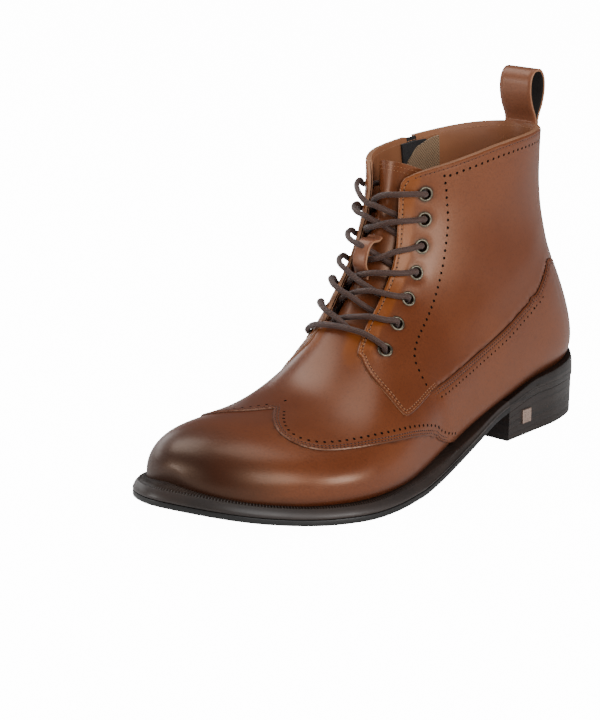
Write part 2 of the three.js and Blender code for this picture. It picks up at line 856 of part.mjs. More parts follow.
function makeEyelet(index, medialSide) {
  const bore = eyeletBore / 2;
  const barrel = eyeletBarrel / 2;
  const flange = eyeletFlange / 2;
  const foot = -upperWall - quarterLift;
  const top = gap + eyeletFlangeThickness;
  const profile = [
    [bore, foot],
    [barrel, foot],
    [barrel, gap],
    [flange, gap],
    [flange - eyeletFlangeThickness, top],
    [bore, top],
    [bore, foot],
  ].map(([radius, height]) => new THREE.Vector2(radius, height));
  const ring = new THREE.LatheGeometry(profile, smallSides).rotateX(Math.PI / 2);
  return solidOf(turned(ring, eyeletFrame(index, medialSide, quarterLift)));
}

const laceRadius = laceDiameter / 2;
const laceOver = quarterLift + gap + eyeletFlangeThickness + laceRadius + laceClearance;
const laceUnder = -upperWall - laceClearance - laceRadius;
const laceMiddle = -laceRadius;
const laceBend = 0.6;

function laceTube(points, steps) {
  const circle = new THREE.Shape();
  for (let i = 0; i < laceSides; i += 1) {
    const angle = (2 * Math.PI * i) / laceSides;
    const x = laceRadius * Math.cos(angle);
    const y = laceRadius * Math.sin(angle);
    if (i === 0) circle.moveTo(x, y);
    else circle.lineTo(x, y);
  }
  const extrudePath = new THREE.CatmullRomCurve3(points, false, 'centripetal');
  return solidOf(new THREE.ExtrudeGeometry(circle, { steps, extrudePath, bevelEnabled: false }));
}

// Way of one lace run. First at its own eyelet, with the angle on towards the ridge, then at the
// next lower eyelet of the other side, where it dives under the facing
const laceLeaving = table(
  ['down', 'inward', 'offset'],
  [
    [0, 0, laceBend],
    [0, 0, laceOver - laceBend],
    [0, 6, laceOver + laceBend],
    [0.05, 16, laceOver],
  ],
);
const laceArriving = table(
  ['up', 'inward', 'offset'],
  [
    [0.3, 22, laceUnder + 2 * laceBend],
    [0.25, 16, laceUnder],
  ],
);

// One lace run: out of the upper eyelet, over its facing, across the throat and in under the other
function laceRun(index, fromMedial) {
  const from = eyeletPlaces[index];
  const to = eyeletPlaces[index - 1];
  const side = (angle, medialSide) => (medialSide ? 180 - angle : angle);
  const leaving = laceLeaving.map(({ down, inward, offset }) => (
    overLast(from.section - down, side(from.angle + inward, fromMedial), offset)
  ));
  const arriving = laceArriving.map(({ up, inward, offset }) => (
    overLast(to.section + up, side(to.angle + inward, !fromMedial), offset)
  ));
  const crossing = overLast((from.section + to.section) / 2, 90, laceMiddle);
  return laceTube([...leaving, crossing, ...arriving], laceSteps);
}

function makeLaceCrossing(index) {
  return laceRun(index, false).add(laceRun(index, true));
}

// Bar at the lowest eyelets, out of one and into the other
function makeLaceBar() {
  const { section, angle } = eyeletPlaces[0];
  const half = [[0, 0], [0, laceOver - laceBend], [8, laceOver], [18, laceOver]];
  const outer = half.map(([inward, offset]) => overLast(section, angle + inward, offset));
  const inner = half.map(([inward, offset]) => overLast(section, 180 - angle - inward, offset)).reverse();
  return laceTube([...outer, overLast(section, 90, laceOver), ...inner], laceSteps + 4);
}

const tapeOuter = -upperWall - gap;
const tapeInner = tapeOuter - zipTapeThickness;
const guardOuter = tapeInner - gap;

function makeZipTape() {
  const strip = zipStrip(zipTapeWidth, zipBottomZ - gap * 10, zipTopZ - 1);
  return lastSkin(tapeOuter, tapeInner).intersect(strip);
}

function makeZipChain() {
  const strip = zipStrip(zipChainWidth, zipBottomZ + 1, zipTopZ - sliderLength);
  return lastSkin(tapeOuter + gap + zipChainThickness, tapeOuter + gap).intersect(strip);
}

// Cloth guard behind the zip, its top edge curving down towards the front
function makeZipGuard() {
  const edge = guardEdge.map((row) => [zipTopAlong - row.behind, zipTopZ - row.below]);
  const back = edge[0][0];
  const front = edge[edge.length - 1][0];
  const corners = [[front, zipBottomZ], [back, zipBottomZ], ...edge];
  return lastSkin(guardOuter, guardOuter - guardThickness).intersect(sidePrism(corners, -farAcross, 0));
}

// Slider in its own frame: x along the shoe, y outwards, z up; its middle lies on the zip line
const sliderSection = 18.75;
const sliderAngle = 177.5;
const sliderMiddle = overLast(sliderSection, sliderAngle, 0);
const sliderBase = quarterLift + gap;
const eyeRadius = pinDiameter / 2 + gap + pullEyeWall;
const pinOut = sliderBase + sliderThickness + eyeRadius + gap;
const pinUp = sliderLength / 2 - sliderLip;

function boxAt(sizeX, sizeY, sizeZ, x, y, z) {
  return new THREE.BoxGeometry(sizeX, sizeY, sizeZ).translate(x, y, z).translate(...sliderMiddle.toArray());
}

function makeSlider() {
  const bodyY = sliderBase + sliderThickness / 2;
  const body = solidOf(boxAt(sliderWidth, sliderThickness, sliderLength, 0, bodyY, 0));
  const lugHeight = pinOut + pinDiameter / 2 + pullEyeWall - sliderBase;
  const lugY = sliderBase + lugHeight / 2;
  const lugX = lugWidth / 2 - lugThickness / 2;
  const ears = [-1, 1].map((s) => solidOf(boxAt(lugThickness, lugHeight, lugLength, s * lugX, lugY, pinUp)));
  const pin = new THREE.CylinderGeometry(pinDiameter / 2, pinDiameter / 2, lugWidth, smallSides);
  pin.rotateZ(Math.PI / 2);
  pin.translate(0, pinOut, pinUp).translate(...sliderMiddle.toArray());
  return body.add(ears[0]).add(ears[1]).add(solidOf(pin));
}

// Pull tab hanging from the pin: an eye round the pin and a flat tab with rounded ends
function makePullTab() {
  const eyeWidth = lugWidth - 2 * lugThickness - 2 * gap;
  const ring = [
    new THREE.Vector2(pinDiameter / 2 + gap, -eyeWidth / 2),
    new THREE.Vector2(eyeRadius, -eyeWidth / 2),
    new THREE.Vector2(eyeRadius, eyeWidth / 2),
    new THREE.Vector2(pinDiameter / 2 + gap, eyeWidth / 2),
    new THREE.Vector2(pinDiameter / 2 + gap, -eyeWidth / 2),
  ];
  const eye = new THREE.LatheGeometry(ring, smallSides).rotateZ(Math.PI / 2);
  eye.translate(0, pinOut, pinUp).translate(...sliderMiddle.toArray());
  const neckTop = pinUp - pinDiameter / 2 - gap - pullEyeWall / 2;
  const neck = boxAt(eyeWidth, pullThickness, pullNeckLength, 0, pinOut, neckTop - pullNeckLength / 2);
  const tab = new THREE.Shape();
  const half = pullWidth / 2;
  const tabTop = neckTop - pullNeckLength + pullEyeWall;
  const tabBottom = neckTop - pullLength;
  tab.moveTo(-half, tabTop - half);
  tab.lineTo(-half, tabBottom + half);
  tab.absarc(0, tabBottom + half, half, Math.PI, 2 * Math.PI, false);
  tab.lineTo(half, tabTop - half);
  tab.lineTo(half / 2, tabTop);
  tab.lineTo(-half / 2, tabTop);
  const shaping = { depth: pullThickness, bevelEnabled: false, curveSegments: 6 };
  const flat = new THREE.ExtrudeGeometry(tab, shaping);
  flat.rotateX(Math.PI / 2).translate(0, pinOut + pullThickness / 2, 0).translate(...sliderMiddle.toArray());
  return solidOf(eye).add(solidOf(neck)).add(solidOf(flat));
}

// Pull loop: both ends of one strap meet in a stem that follows the inside of the collar
function makePullLoop() {
  const stemOuter = -upperWall - gap;
  const stemInner = stemOuter - 2 * loopThickness;
  const middle = overLast(loopSection, 270, (stemOuter + stemInner) / 2);
  const stemAlong = soleLength / 2 - middle.x;
  const collarZ = heelSeatZ + collarLine[0].lateral * shaftRise;
  const side = (sign) => loopShape.map((row) => [
    stemAlong + sign * row.depth * loopDepth,
    collarZ + row.rise * loopRise,
  ]);
  const arch = [...side(-1), [stemAlong, collarZ + loopRise], ...side(1).reverse()];
  const smooth = new THREE.SplineCurve(arch.map((p) => new THREE.Vector2(p[0], p[1]))).getPoints(32);
  const loop = strap(smooth.map((p) => [p.x, p.y]), loopThickness, loopWidth, 0);
  const reach = [
    [0, collarZ - loopStem],
    [stemAlong + loopDepth, collarZ - loopStem],
    [stemAlong + loopDepth, collarZ + loopFoot + loopThickness],
    [0, collarZ + loopFoot + loopThickness],
  ];
  const stem = lastSkin(stemOuter, stemInner).intersect(sidePrism(reach, -loopWidth / 2, loopWidth / 2));
  return loop.add(stem);
}

// Bare plate on the outer side of the heel, square to its side
function makeHeelPlate() {
  const side = outlineLoop(evenly(heelEdge)).filter((p) => p.across > 0);
  const behind = side.filter((p) => Math.abs(p.along - plateAlong) < plateWidth);
  const widest = Math.max(...behind.map((p) => p.across));
  const box = new THREE.BoxGeometry(plateWidth, plateThickness, plateHeight);
  const middle = place(plateAlong, widest + plateThickness / 2 + gap, plateMiddleZ);
  return solidOf(box.translate(...middle.toArray()));
}

const boot = new THREE.Group();

function addPiece(name, solid, finish) {
  const mesh = new THREE.Mesh(geometryOf(solid), new THREE.MeshStandardMaterial(finish));
  mesh.name = name;
  boot.add(mesh);
}

const edgeStrip = makeEdgeStrip();
addPiece('outsole', makeOutsole(), soleDark);
addPiece('welt', edgeStrip.intersect(alongRange(breastAlong + gap / 2, soleLength + beyondSole)), weltBrown);
addPiece('heel_rand', edgeStrip.intersect(alongRange(-beyondSole, breastAlong - gap / 2)), heelStack);
addPiece('heel_block', makeHeelBlock(), heelStack);
addPiece('heel_plate', makeHeelPlate(), paleMetal);
addPiece('upper', makeUpper(), leather);
addPiece('insole', makeInsole(), lining);
addPiece('tongue', solidOf(makeTongue()), leatherDark);
addPiece('lace_keeper', makeKeeper(), leather);
addPiece('pull_loop', makePullLoop(), leather);
addPiece('zip_tape', makeZipTape(), zipBlack);
addPiece('zip_chain', makeZipChain(), zipMetal);
addPiece('zip_slider', makeSlider(), zipMetal);
addPiece('zip_pull', makePullTab(), zipMetal);
addPiece('zip_guard', makeZipGuard(), guardCloth);
addPiece('lace_bar', makeLaceBar(), laceCord);
for (let i = 0; i < eyeletPlaces.length; i += 1) {
  addPiece(`eyelet_lateral_${i + 1}`, makeEyelet(i, false), antiqueBrass);
  addPiece(`eyelet_medial_${i + 1}`, makeEyelet(i, true), antiqueBrass);
  if (i > 0) addPiece(`lace_crossing_${i}`, makeLaceCrossing(i), laceCord);
}

export default boot;
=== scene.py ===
# Left wingtip derby ankle boot: leather panels, seams, lace, zip and welted sole around the CAD frame.

import math

import bpy
import numpy as np
from mathutils import Matrix, Vector
from mathutils.geometry import delaunay_2d_cdt


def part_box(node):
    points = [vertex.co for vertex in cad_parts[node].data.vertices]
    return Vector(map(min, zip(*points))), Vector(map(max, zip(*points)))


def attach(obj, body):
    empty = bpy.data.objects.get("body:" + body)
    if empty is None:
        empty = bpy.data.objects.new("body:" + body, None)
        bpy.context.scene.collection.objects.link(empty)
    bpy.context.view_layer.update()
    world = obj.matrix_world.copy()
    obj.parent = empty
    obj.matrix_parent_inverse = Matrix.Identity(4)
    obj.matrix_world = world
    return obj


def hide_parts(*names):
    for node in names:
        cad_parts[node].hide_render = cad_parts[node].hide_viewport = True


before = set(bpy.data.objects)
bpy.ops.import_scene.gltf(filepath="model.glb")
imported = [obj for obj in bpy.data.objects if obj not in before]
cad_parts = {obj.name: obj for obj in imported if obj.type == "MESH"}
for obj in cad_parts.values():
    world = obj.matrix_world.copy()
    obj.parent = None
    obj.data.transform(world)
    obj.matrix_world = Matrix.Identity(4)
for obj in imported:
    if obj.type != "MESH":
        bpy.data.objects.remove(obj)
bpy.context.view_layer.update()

MM = 0.001

# Driving sizes of the shoe, in millimetres: along from the heel back, across to the outer side
sole_low, sole_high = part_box("outsole")
SOLE_LENGTH = (sole_high.x - sole_low.x) / MM
BALL_WIDTH = 112.0
HEEL_LIFT = 20.3
TOE_SPRING = 12.8
SHAFT_RISE = 120.0
OUTSOLE_THICKNESS = 3.2
WELT_HEIGHT = 5.6
WELT_LIP = 3.6
WELT_REACH = 13.0
HEEL_TAPER = 0.9
HEEL_EDGE = 0.4
BREAST_ALONG = 81.0
UPPER_WALL = 2.2
QUARTER_LIFT = 1.3
TOE_CAP_DROP = 0.8
GAP = 0.3
EYELET_BORE = 4.6
EYELET_FLANGE = 8.0
LACE_DIAMETER = 2.9
ZIP_SLOT_WIDTH = 8.0
ZIP_TOP_ALONG = 81.0
ZIP_BOTTOM_ALONG = 77.0
ZIP_BOTTOM_Z = 50.0


def table(columns, rows):
    """Rows of numbers as one array for each named column."""
    values = np.array(rows, float).T
    return dict(zip(columns.split(), values))


SOLE_OUTLINE = table("along lateral medial", [
    (0.012, 0.150, 0.145),
    (0.050, 0.262, 0.250),
    (0.120, 0.322, 0.300),
    (0.200, 0.333, 0.296),
    (0.300, 0.347, 0.262),
    (0.400, 0.410, 0.243),
    (0.500, 0.475, 0.275),
    (0.600, 0.536, 0.352),
    (0.680, 0.567, 0.410),
    (0.760, 0.549, 0.434),
    (0.840, 0.472, 0.418),
    (0.900, 0.378, 0.372),
    (0.950, 0.250, 0.290),
    (0.985, 0.085, 0.185),
])
TOE_TIP_ACROSS = -0.058

SOLE_PROFILE = table("along heel toe seat", [
    (0.00, 1.00, 0.00, 4.4),
    (0.08, 1.00, 0.00, 1.2),
    (0.18, 1.00, 0.00, -0.8),
    (0.26, 0.80, 0.00, -2.2),
    (0.36, 0.52, 0.00, -2.7),
    (0.46, 0.25, 0.00, -2.2),
    (0.54, 0.07, 0.00, -1.2),
    (0.60, 0.00, 0.00, -0.4),
    (0.70, 0.00, 0.00, 0.0),
    (0.80, 0.00, 0.14, 0.0),
    (0.90, 0.00, 0.48, 0.0),
    (1.00, 0.00, 1.00, 0.0),
])

# Sections of the last from the toe tip to over the collar, as shares of the driving sizes
LAST_SECTIONS = [
    # front along, rise; back along, rise; lateral, medial, ridge; widest, upper, lower
    (0.963, 0.041, 0.963, 0.041, -0.045, 0.045, -0.045, 0.50, 2.0, 2.0),
    (0.963, 0.079, 0.963, 0.000, 0.022, 0.107, -0.045, 0.50, 2.0, 2.0),
    (0.958, 0.111, 0.958, -0.075, 0.098, 0.165, -0.045, 0.44, 2.0, 2.4),
    (0.947, 0.159, 0.947, -0.075, 0.188, 0.232, -0.045, 0.40, 2.0, 2.8),
    (0.920, 0.216, 0.920, -0.075, 0.286, 0.295, -0.036, 0.38, 2.0, 3.0),
    (0.877, 0.261, 0.877, -0.075, 0.393, 0.357, -0.018, 0.38, 2.0, 3.2),
    (0.817, 0.287, 0.817, -0.075, 0.478, 0.393, 0.000, 0.38, 2.0, 3.2),
    (0.750, 0.297, 0.747, -0.075, 0.536, 0.402, 0.018, 0.38, 2.0, 3.2),
    (0.693, 0.335, 0.677, -0.075, 0.549, 0.384, 0.027, 0.38, 2.0, 3.4),
    (0.650, 0.407, 0.603, -0.072, 0.522, 0.344, 0.027, 0.36, 2.0, 3.7),
    (0.610, 0.505, 0.510, -0.052, 0.464, 0.290, 0.018, 0.34, 2.0, 3.8),
    (0.573, 0.612, 0.390, -0.033, 0.397, 0.268, 0.009, 0.34, 2.0, 3.8),
    (0.540, 0.708, 0.260, -0.045, 0.348, 0.286, 0.000, 0.34, 2.0, 3.8),
    (0.515, 0.795, 0.127, -0.063, 0.326, 0.299, 0.000, 0.35, 2.0, 3.6),
    (0.497, 0.873, 0.013, -0.073, 0.312, 0.299, 0.000, 0.37, 2.1, 3.3),
    (0.483, 0.952, 0.003, 0.105, 0.295, 0.290, 0.000, 0.40, 2.1, 2.9),
    (0.475, 1.016, 0.025, 0.313, 0.272, 0.272, 0.000, 0.43, 2.1, 2.4),
    (0.470, 1.081, 0.060, 0.526, 0.254, 0.263, 0.000, 0.46, 2.1, 2.1),
    (0.467, 1.139, 0.078, 0.723, 0.259, 0.268, 0.000, 0.47, 2.1, 2.0),
    (0.463, 1.195, 0.082, 0.898, 0.268, 0.277, 0.000, 0.48, 2.1, 2.0),
    (0.458, 1.252, 0.082, 1.081, 0.281, 0.286, 0.000, 0.48, 2.1, 2.0),
    (0.453, 1.317, 0.083, 1.265, 0.290, 0.295, 0.000, 0.48, 2.1, 2.0),
]

COLLAR_LINE = table("along lateral medial", [
    (0.000, 1.042, 1.042),
    (0.077, 1.042, 1.040),
    (0.120, 1.048, 1.035),
    (0.170, 1.056, 1.026),
    (0.220, 1.056, 1.018),
    (0.280, 1.048, 1.012),
    (0.343, 1.024, 1.008),
    (0.390, 1.000, 1.006),
    (0.423, 0.981, 1.000),
    (0.443, 0.963, 0.990),
    (0.453, 0.940, 0.968),
    (0.500, 0.920, 0.950),
])

# Lines on the last as (section, angle): 0 is the outer side, 90 the ridge, 180 the inner side
FACING_EDGE = [
    (9.85, 65), (10.2, 69.5), (10.8, 69.5), (11.6, 67.5), (12.6, 67), (13.8, 69),
    (15.1, 71.5), (16.35, 72), (17.1, 71), (17.6, 68),
]
TAB_EDGE = [(9.47, 25.2), (9.40, 28), (9.38, 33), (9.42, 42), (9.5, 52), (9.62, 59)]
COUNTER_SEAM = [
    (9.47, 25.2), (9.62, 23.2), (10.0, 21), (10.5, 18.5), (10.79, 16.8), (11.06, 14.6), (11.33, 12.9),
    (11.59, 11.7), (11.85, 10.7), (12.11, 10), (12.36, 9.5), (12.63, 9), (12.9, 8.6), (13.19, 8.2),
    (13.5, 7.7), (13.83, 6.8), (14.16, 4.9), (14.49, 2), (14.82, -0.6), (15.16, -4.4), (15.5, -10.2),
    (15.83, -17.6), (16.13, -25.8), (16.28, -34), (16.36, -45), (16.4, -60), (16.42, -75), (16.42, -90),
]
WING_HOLES = [
    (7.45, 88), (6.95, 80), (6.55, 72), (6.25, 61), (6.30, 51), (6.65, 45), (7.25, 41), (7.9, 36),
    (8.65, 28), (9.5, 16.5), (10.2, 2), (10.65, -16),
]
WING_TAIL = [(10.78, -31), (10.82, -47)]
WING_HOLES_INNER = [
    (7.45, 88), (7.05, 93), (6.6, 101), (6.3, 113), (6.30, 124), (6.6, 132), (7.2, 139), (7.9, 145),
    (8.65, 153), (9.5, 165), (10.1, 178), (10.6, 196),
]
WING_TAIL_INNER = [(10.74, 211), (10.8, 227)]
FACING_HOLES = [
    (18.2, 41), (17.4, 39.5), (16.65, 40), (15.9, 41.5), (15.15, 43.5), (14.5, 44.5), (13.85, 44.5),
    (13.3, 43.5), (12.45, 41.2), (11.95, 40.2), (11.5, 39.8), (11.1, 38.8), (10.85, 36.5), (10.72, 33),
    (10.62, 28.5), (10.55, 23.5), (10.50, 20.5),
]
EYELETS = [(10.50, 54), (11.40, 53), (12.30, 53), (13.30, 55), (14.40, 56), (15.65, 55), (17.00, 53)]


def smooth_value(rows, key, name, x):
    """Smooth value of one column of a table, with no overshoot between its rows."""
    xs, ys = rows[key], rows[name]
    step = np.diff(xs)
    slope = np.diff(ys) / step
    before, after = slope[:-1], slope[1:]
    same = before * after > 0
    inner = np.where(same, 2 * before * after / np.where(same, before + after, 1), 0)
    tangent = np.concatenate([slope[:1], inner, slope[-1:]])
    x = np.clip(x, xs[0], xs[-1])
    i = np.clip(np.searchsorted(xs, x, side="right") - 1, 0, len(xs) - 2)
    t = (x - xs[i]) / step[i]
    rest = 1 - t
    return (
        rest**2 * (1 + 2 * t) * ys[i]
        + t * rest**2 * step[i] * tangent[i]
        + t**2 * (3 - 2 * t) * ys[i + 1]
        - t**2 * rest * step[i] * tangent[i + 1]
    )


def smoothstep(low, high, x):
    """Nothing up to the low limit, one from the high limit on, and smooth between."""
    t = np.clip((x - low) / (high - low), 0, 1)
    return t * t * (3 - 2 * t)


def underside_z(along):
    """Height of the sole's underside over the floor."""
    share = np.asarray(along) / SOLE_LENGTH
    heel = smooth_value(SOLE_PROFILE, "along", "heel", share)
    return HEEL_LIFT * heel + TOE_SPRING * smooth_value(SOLE_PROFILE, "along", "toe", share)


def outsole_top_z(along):
    return underside_z(along) + OUTSOLE_THICKNESS


def seat_z(along):
    rise = smooth_value(SOLE_PROFILE, "along", "seat", np.asarray(along) / SOLE_LENGTH)
    return outsole_top_z(along) + WELT_HEIGHT + rise


SEAT_MIDDLE = 0.0818
HEEL_SEAT_Z = float(seat_z(SEAT_MIDDLE * SOLE_LENGTH))


def curve_through(points, closed=False, fineness=24):
    """Centripetal curve through the points, as a dense list of points."""
    points = np.asarray(points, float)
    if closed:
        ring = np.concatenate([points[-1:], points, points[:2]])
    else:
        ring = np.concatenate([2 * points[:1] - points[1:2], points, 2 * points[-1:] - points[-2:-1]])
    t = np.linspace(0, 1, fineness, endpoint=False)[:, None]
    parts = []
    for p0, p1, p2, p3 in zip(ring, ring[1:], ring[2:], ring[3:]):
        d1, d2, d3 = (max(np.linalg.norm(b - a) ** 0.5, 1e-9) for a, b in ((p0, p1), (p1, p2), (p2, p3)))
        m1 = ((p1 - p0) / d1 - (p2 - p0) / (d1 + d2) + (p2 - p1) / d2) * d2
        m2 = ((p2 - p1) / d2 - (p3 - p1) / (d2 + d3) + (p3 - p2) / d3) * d2
        parts.append(
            (2 * t**3 - 3 * t**2 + 1) * p1 + (t**3 - 2 * t**2 + t) * m1
            + (3 * t**2 - 2 * t**3) * p2 + (t**3 - t**2) * m2
        )
    if not closed:
        parts.append(points[-1:])
    return np.concatenate(parts)


def lengths_along(points):
    """Length of a line up to each of its points."""
    return np.concatenate([[0], np.cumsum(np.linalg.norm(np.diff(points, axis=0), axis=1))])


def spaced(points, at, measure=None):
    """Points at the given distances along a line, measured on another line if one is given."""
    run = lengths_along(points if measure is None else measure)
    return np.stack([np.interp(at, run, points[:, k]) for k in range(points.shape[1])], 1)


outline_corners = np.concatenate([
    [(0.0, 0.0)],
    np.stack([SOLE_OUTLINE["along"], SOLE_OUTLINE["lateral"]], 1),
    [(1.0, TOE_TIP_ACROSS)],
    np.stack([SOLE_OUTLINE["along"], -SOLE_OUTLINE["medial"]], 1)[::-1],
]) * (SOLE_LENGTH, BALL_WIDTH)
outline_curve = curve_through(outline_corners, closed=True)
MIDDLE_ACROSS = (outline_curve[:, 1].max() + outline_curve[:, 1].min()) / 2


def to_frame(points):
    """Shoe measures in millimetres to the part's frame in metres."""
    points = np.asarray(points, float)
    return np.stack([
        SOLE_LENGTH / 2 - points[..., 0],
        MIDDLE_ACROSS - points[..., 1],
        points[..., 2],
    ], -1) * MM


def sole_edge(count):
    """Evenly spaced points round the sole edge and the directions that point inwards there."""
    closed = np.concatenate([outline_curve, outline_curve[:1]])
    total = lengths_along(closed)[-1]
    edge = spaced(closed, np.arange(count) * total / count)
    tangent = np.roll(edge, -1, 0) - np.roll(edge, 1, 0)
    tangent /= np.linalg.norm(tangent, axis=1)[:, None]
    inward = np.stack([tangent[:, 1], -tangent[:, 0]], 1)
    return edge, inward


# The last as a smooth surface
def control_sections():
    """Control rows of the last in millimetres, with one more row beyond each end."""
    rows = np.array(LAST_SECTIONS)
    rows[:, [0, 2]] *= SOLE_LENGTH
    rows[:, 1] = seat_z(rows[:, 0]) + rows[:, 1] * SHAFT_RISE
    rows[:, 3] = seat_z(rows[:, 2]) + rows[:, 3] * SHAFT_RISE
    rows[:, 4:7] *= BALL_WIDTH
    return np.concatenate([2 * rows[:1] - rows[1:2], rows, 2 * rows[-1:] - rows[-2:-1]])


CONTROLS = control_sections()
TOP_SECTION = len(LAST_SECTIONS) - 1


def last_point(lines):
    """Points of the last for an array of (section, angle), as (along, across, z)."""
    section = np.clip(lines[..., 0], 0, TOP_SECTION)
    angle = np.radians(lines[..., 1])
    i = np.clip(np.floor(section).astype(int), 0, TOP_SECTION - 1)
    t = section - i
    weights = ((1 - t)**3, 3 * t**3 - 6 * t**2 + 4, -3 * t**3 + 3 * t**2 + 3 * t + 1, t**3)
    form = sum(w[..., None] * CONTROLS[i + k] for k, w in enumerate(weights)) / 6
    front, front_z, back, back_z, lateral, medial, ridge, widest, upper, lower = np.moveaxis(form, -1, 0)
    cosine, sine = np.cos(angle), np.sin(angle)
    power = 2 / np.where(sine >= 0, upper, lower)
    side = np.sign(cosine) * np.abs(cosine) ** power
    height = np.abs(sine) ** power
    across = ridge + np.where(side >= 0, lateral - ridge, medial + ridge) * side
    share = np.where(sine >= 0, widest + (1 - widest) * height, widest * (1 - height))
    return np.stack([back + (front - back) * share, across, back_z + (front_z - back_z) * share], -1)


# Steps over which the surface's slopes are measured, and how near the toe's tip that still works
SECTION_STEP = 0.03
ANGLE_STEP = 0.8
TOE_POLE = 0.06


def last_slopes(lines):
    """How the surface runs per unit of section and per degree, and its outward normal."""
    near = np.stack([np.clip(lines[..., 0], TOE_POLE, TOP_SECTION - SECTION_STEP), lines[..., 1]], -1)
    onward = last_point(near + (SECTION_STEP, 0)) - last_point(near - (SECTION_STEP, 0))
    around = last_point(near + (0, ANGLE_STEP)) - last_point(near - (0, ANGLE_STEP))
    normal = np.cross(onward, around)
    normal /= np.linalg.norm(normal, axis=-1)[..., None]
    return onward / (2 * SECTION_STEP), around / (2 * ANGLE_STEP), normal


def over_last(lines, offset):
    """Points at an offset over the last, for (section, angle) places."""
    lines = np.asarray(lines, float)
    offset = np.asarray(offset, float)
    return last_point(lines) + last_slopes(lines)[2] * offset[..., None]


def moved_on_last(lines, shift):
    """The (section, angle) places after a small move of the surface points, in millimetres."""
    onward, around, _ = last_slopes(lines)
    a = (onward * onward).sum(-1)
    b = (onward * around).sum(-1)
    c = (around * around).sum(-1)
    p = (onward * shift).sum(-1)
    q = (around * shift).sum(-1)
    det = a * c - b * b
    return lines + np.stack([(c * p - b * q) / det, (a * q - b * p) / det], -1)


# Step of the lines drawn on the last, in millimetres
LINE_PITCH = 0.8


def line_on_last(points):
    """Smooth line over the last through (section, angle) points, with even steps."""
    dense = curve_through(points)
    run = lengths_along(last_point(dense))
    count = max(int(run[-1] / LINE_PITCH), 2)
    return spaced(dense, np.linspace(0, run[-1], count), last_point(dense))


# Points compared with a curve at a time, to keep the table of distances small
NEAREST_BLOCK = 2000
# A moved line keeps the points that stay at least this share of the move away from the old one
CROSSING_SHARE = 0.95
CORNER_SHARE = 0.97


def nearest(points, curve):
    """Distance of each point to the nearest point of a curve, and which one that is."""
    distance = np.empty(len(points))
    index = np.empty(len(points), int)
    for start in range(0, len(points), NEAREST_BLOCK):
        end = start + NEAREST_BLOCK
        gaps = ((points[start:end, None, :] - curve[None]) ** 2).sum(-1)
        index[start:end] = gaps.argmin(1)
        distance[start:end] = np.sqrt(gaps.min(1))
    return distance, index


def beside(line, distance):
    """The line moved sideways over the last, to the left of its direction; crossings are dropped."""
    places = np.array(line)
    steps = max(int(math.ceil(abs(distance) / LINE_PITCH)), 1)
    for _ in range(steps):
        points = last_point(places)
        run = np.gradient(points, axis=0)
        run /= np.linalg.norm(run, axis=1)[:, None] + 1e-12
        left = np.cross(last_slopes(places)[2], run)
        places = moved_on_last(places, left * distance / steps)
    gap, _ = nearest(last_point(places), last_point(np.array(line)))
    return places[gap > CROSSING_SHARE * abs(distance)]


def mirrored(line):
    """The same line on the inner side of the boot."""
    return [(section, 180 - angle) for section, angle in line]


HALVINGS = 40


def crossing(count, low, high, is_under):
    """Where is_under turns from true to false between two limits, for each of several values."""
    low, high = np.full(count, float(low)), np.full(count, float(high))
    for _ in range(HALVINGS):
        middle = (low + high) / 2
        under = is_under(middle)
        low = np.where(under, middle, low)
        high = np.where(under, high, middle)
    return (low + high) / 2


def section_where(angle, low_section, high_section, target):
    """Section on each angle where the last crosses a height."""
    def is_under(section):
        point = last_point(np.stack([section, angle], -1))
        return point[..., 2] < target(point)

    return crossing(len(angle), low_section, high_section, is_under)


SEAT_LAP = 0.4


def feather_z(along):
    """Height of the feather line, where the upper meets the sole."""
    return seat_z(along) - SEAT_LAP


def feather_side(sections, inner=False):
    """The feather line of one side, where the upper meets the sole, as (section, angle) places."""
    def turned(angle):
        return 180 - angle if inner else angle

    def is_under(angle):
        point = last_point(np.stack([sections, turned(angle)], -1))
        return point[..., 2] < feather_z(point[..., 0])

    return np.stack([sections, turned(crossing(len(sections), -90, 0, is_under))], -1)


def collar_z(point):
    """Height of the collar at a point, from the table of its side."""
    share = point[..., 0] / SOLE_LENGTH
    lateral = smooth_value(COLLAR_LINE, "along", "lateral", share)
    medial = smooth_value(COLLAR_LINE, "along", "medial", share)
    return HEEL_SEAT_Z + np.where(point[..., 1] > 0, lateral, medial) * SHAFT_RISE


# Flat layouts in which panels are cut: one round the leg, one round the toe
SECTION_SCALE = 9.0
ANGLE_SCALE = 0.62
TOE_SCALE = 5.0
RIM_CLEARANCE = 0.3
MERGE_DISTANCE = 1e-5


def leg_layout(lines):
    """Flat layout of (section, angle) places round the leg."""
    return lines * (SECTION_SCALE, ANGLE_SCALE)


def leg_places(flat):
    return flat / (SECTION_SCALE, ANGLE_SCALE)


def toe_layout(lines):
    """Flat layout of (section, angle) places round the toe's tip."""
    angle = np.radians(lines[..., 1])
    radius = lines[..., 0] * TOE_SCALE
    return np.stack([radius * np.cos(angle), radius * np.sin(angle)], -1)


def toe_places(flat):
    angle = np.degrees(np.arctan2(flat[..., 1], flat[..., 0]))
    return np.stack([np.hypot(flat[..., 0], flat[..., 1]) / TOE_SCALE, angle], -1)


def inside(points, polygon):
    """Which points lie inside a closed flat outline."""
    x, y = points[:, 0], points[:, 1]
    result = np.zeros(len(points), bool)
    for (x0, y0), (x1, y1) in zip(polygon, np.roll(polygon, -1, 0)):
        if y0 != y1:
            crossing = ((y0 > y) != (y1 > y)) & (x < (x1 - x0) * (y - y0) / (y1 - y0) + x0)
            result ^= crossing
    return result


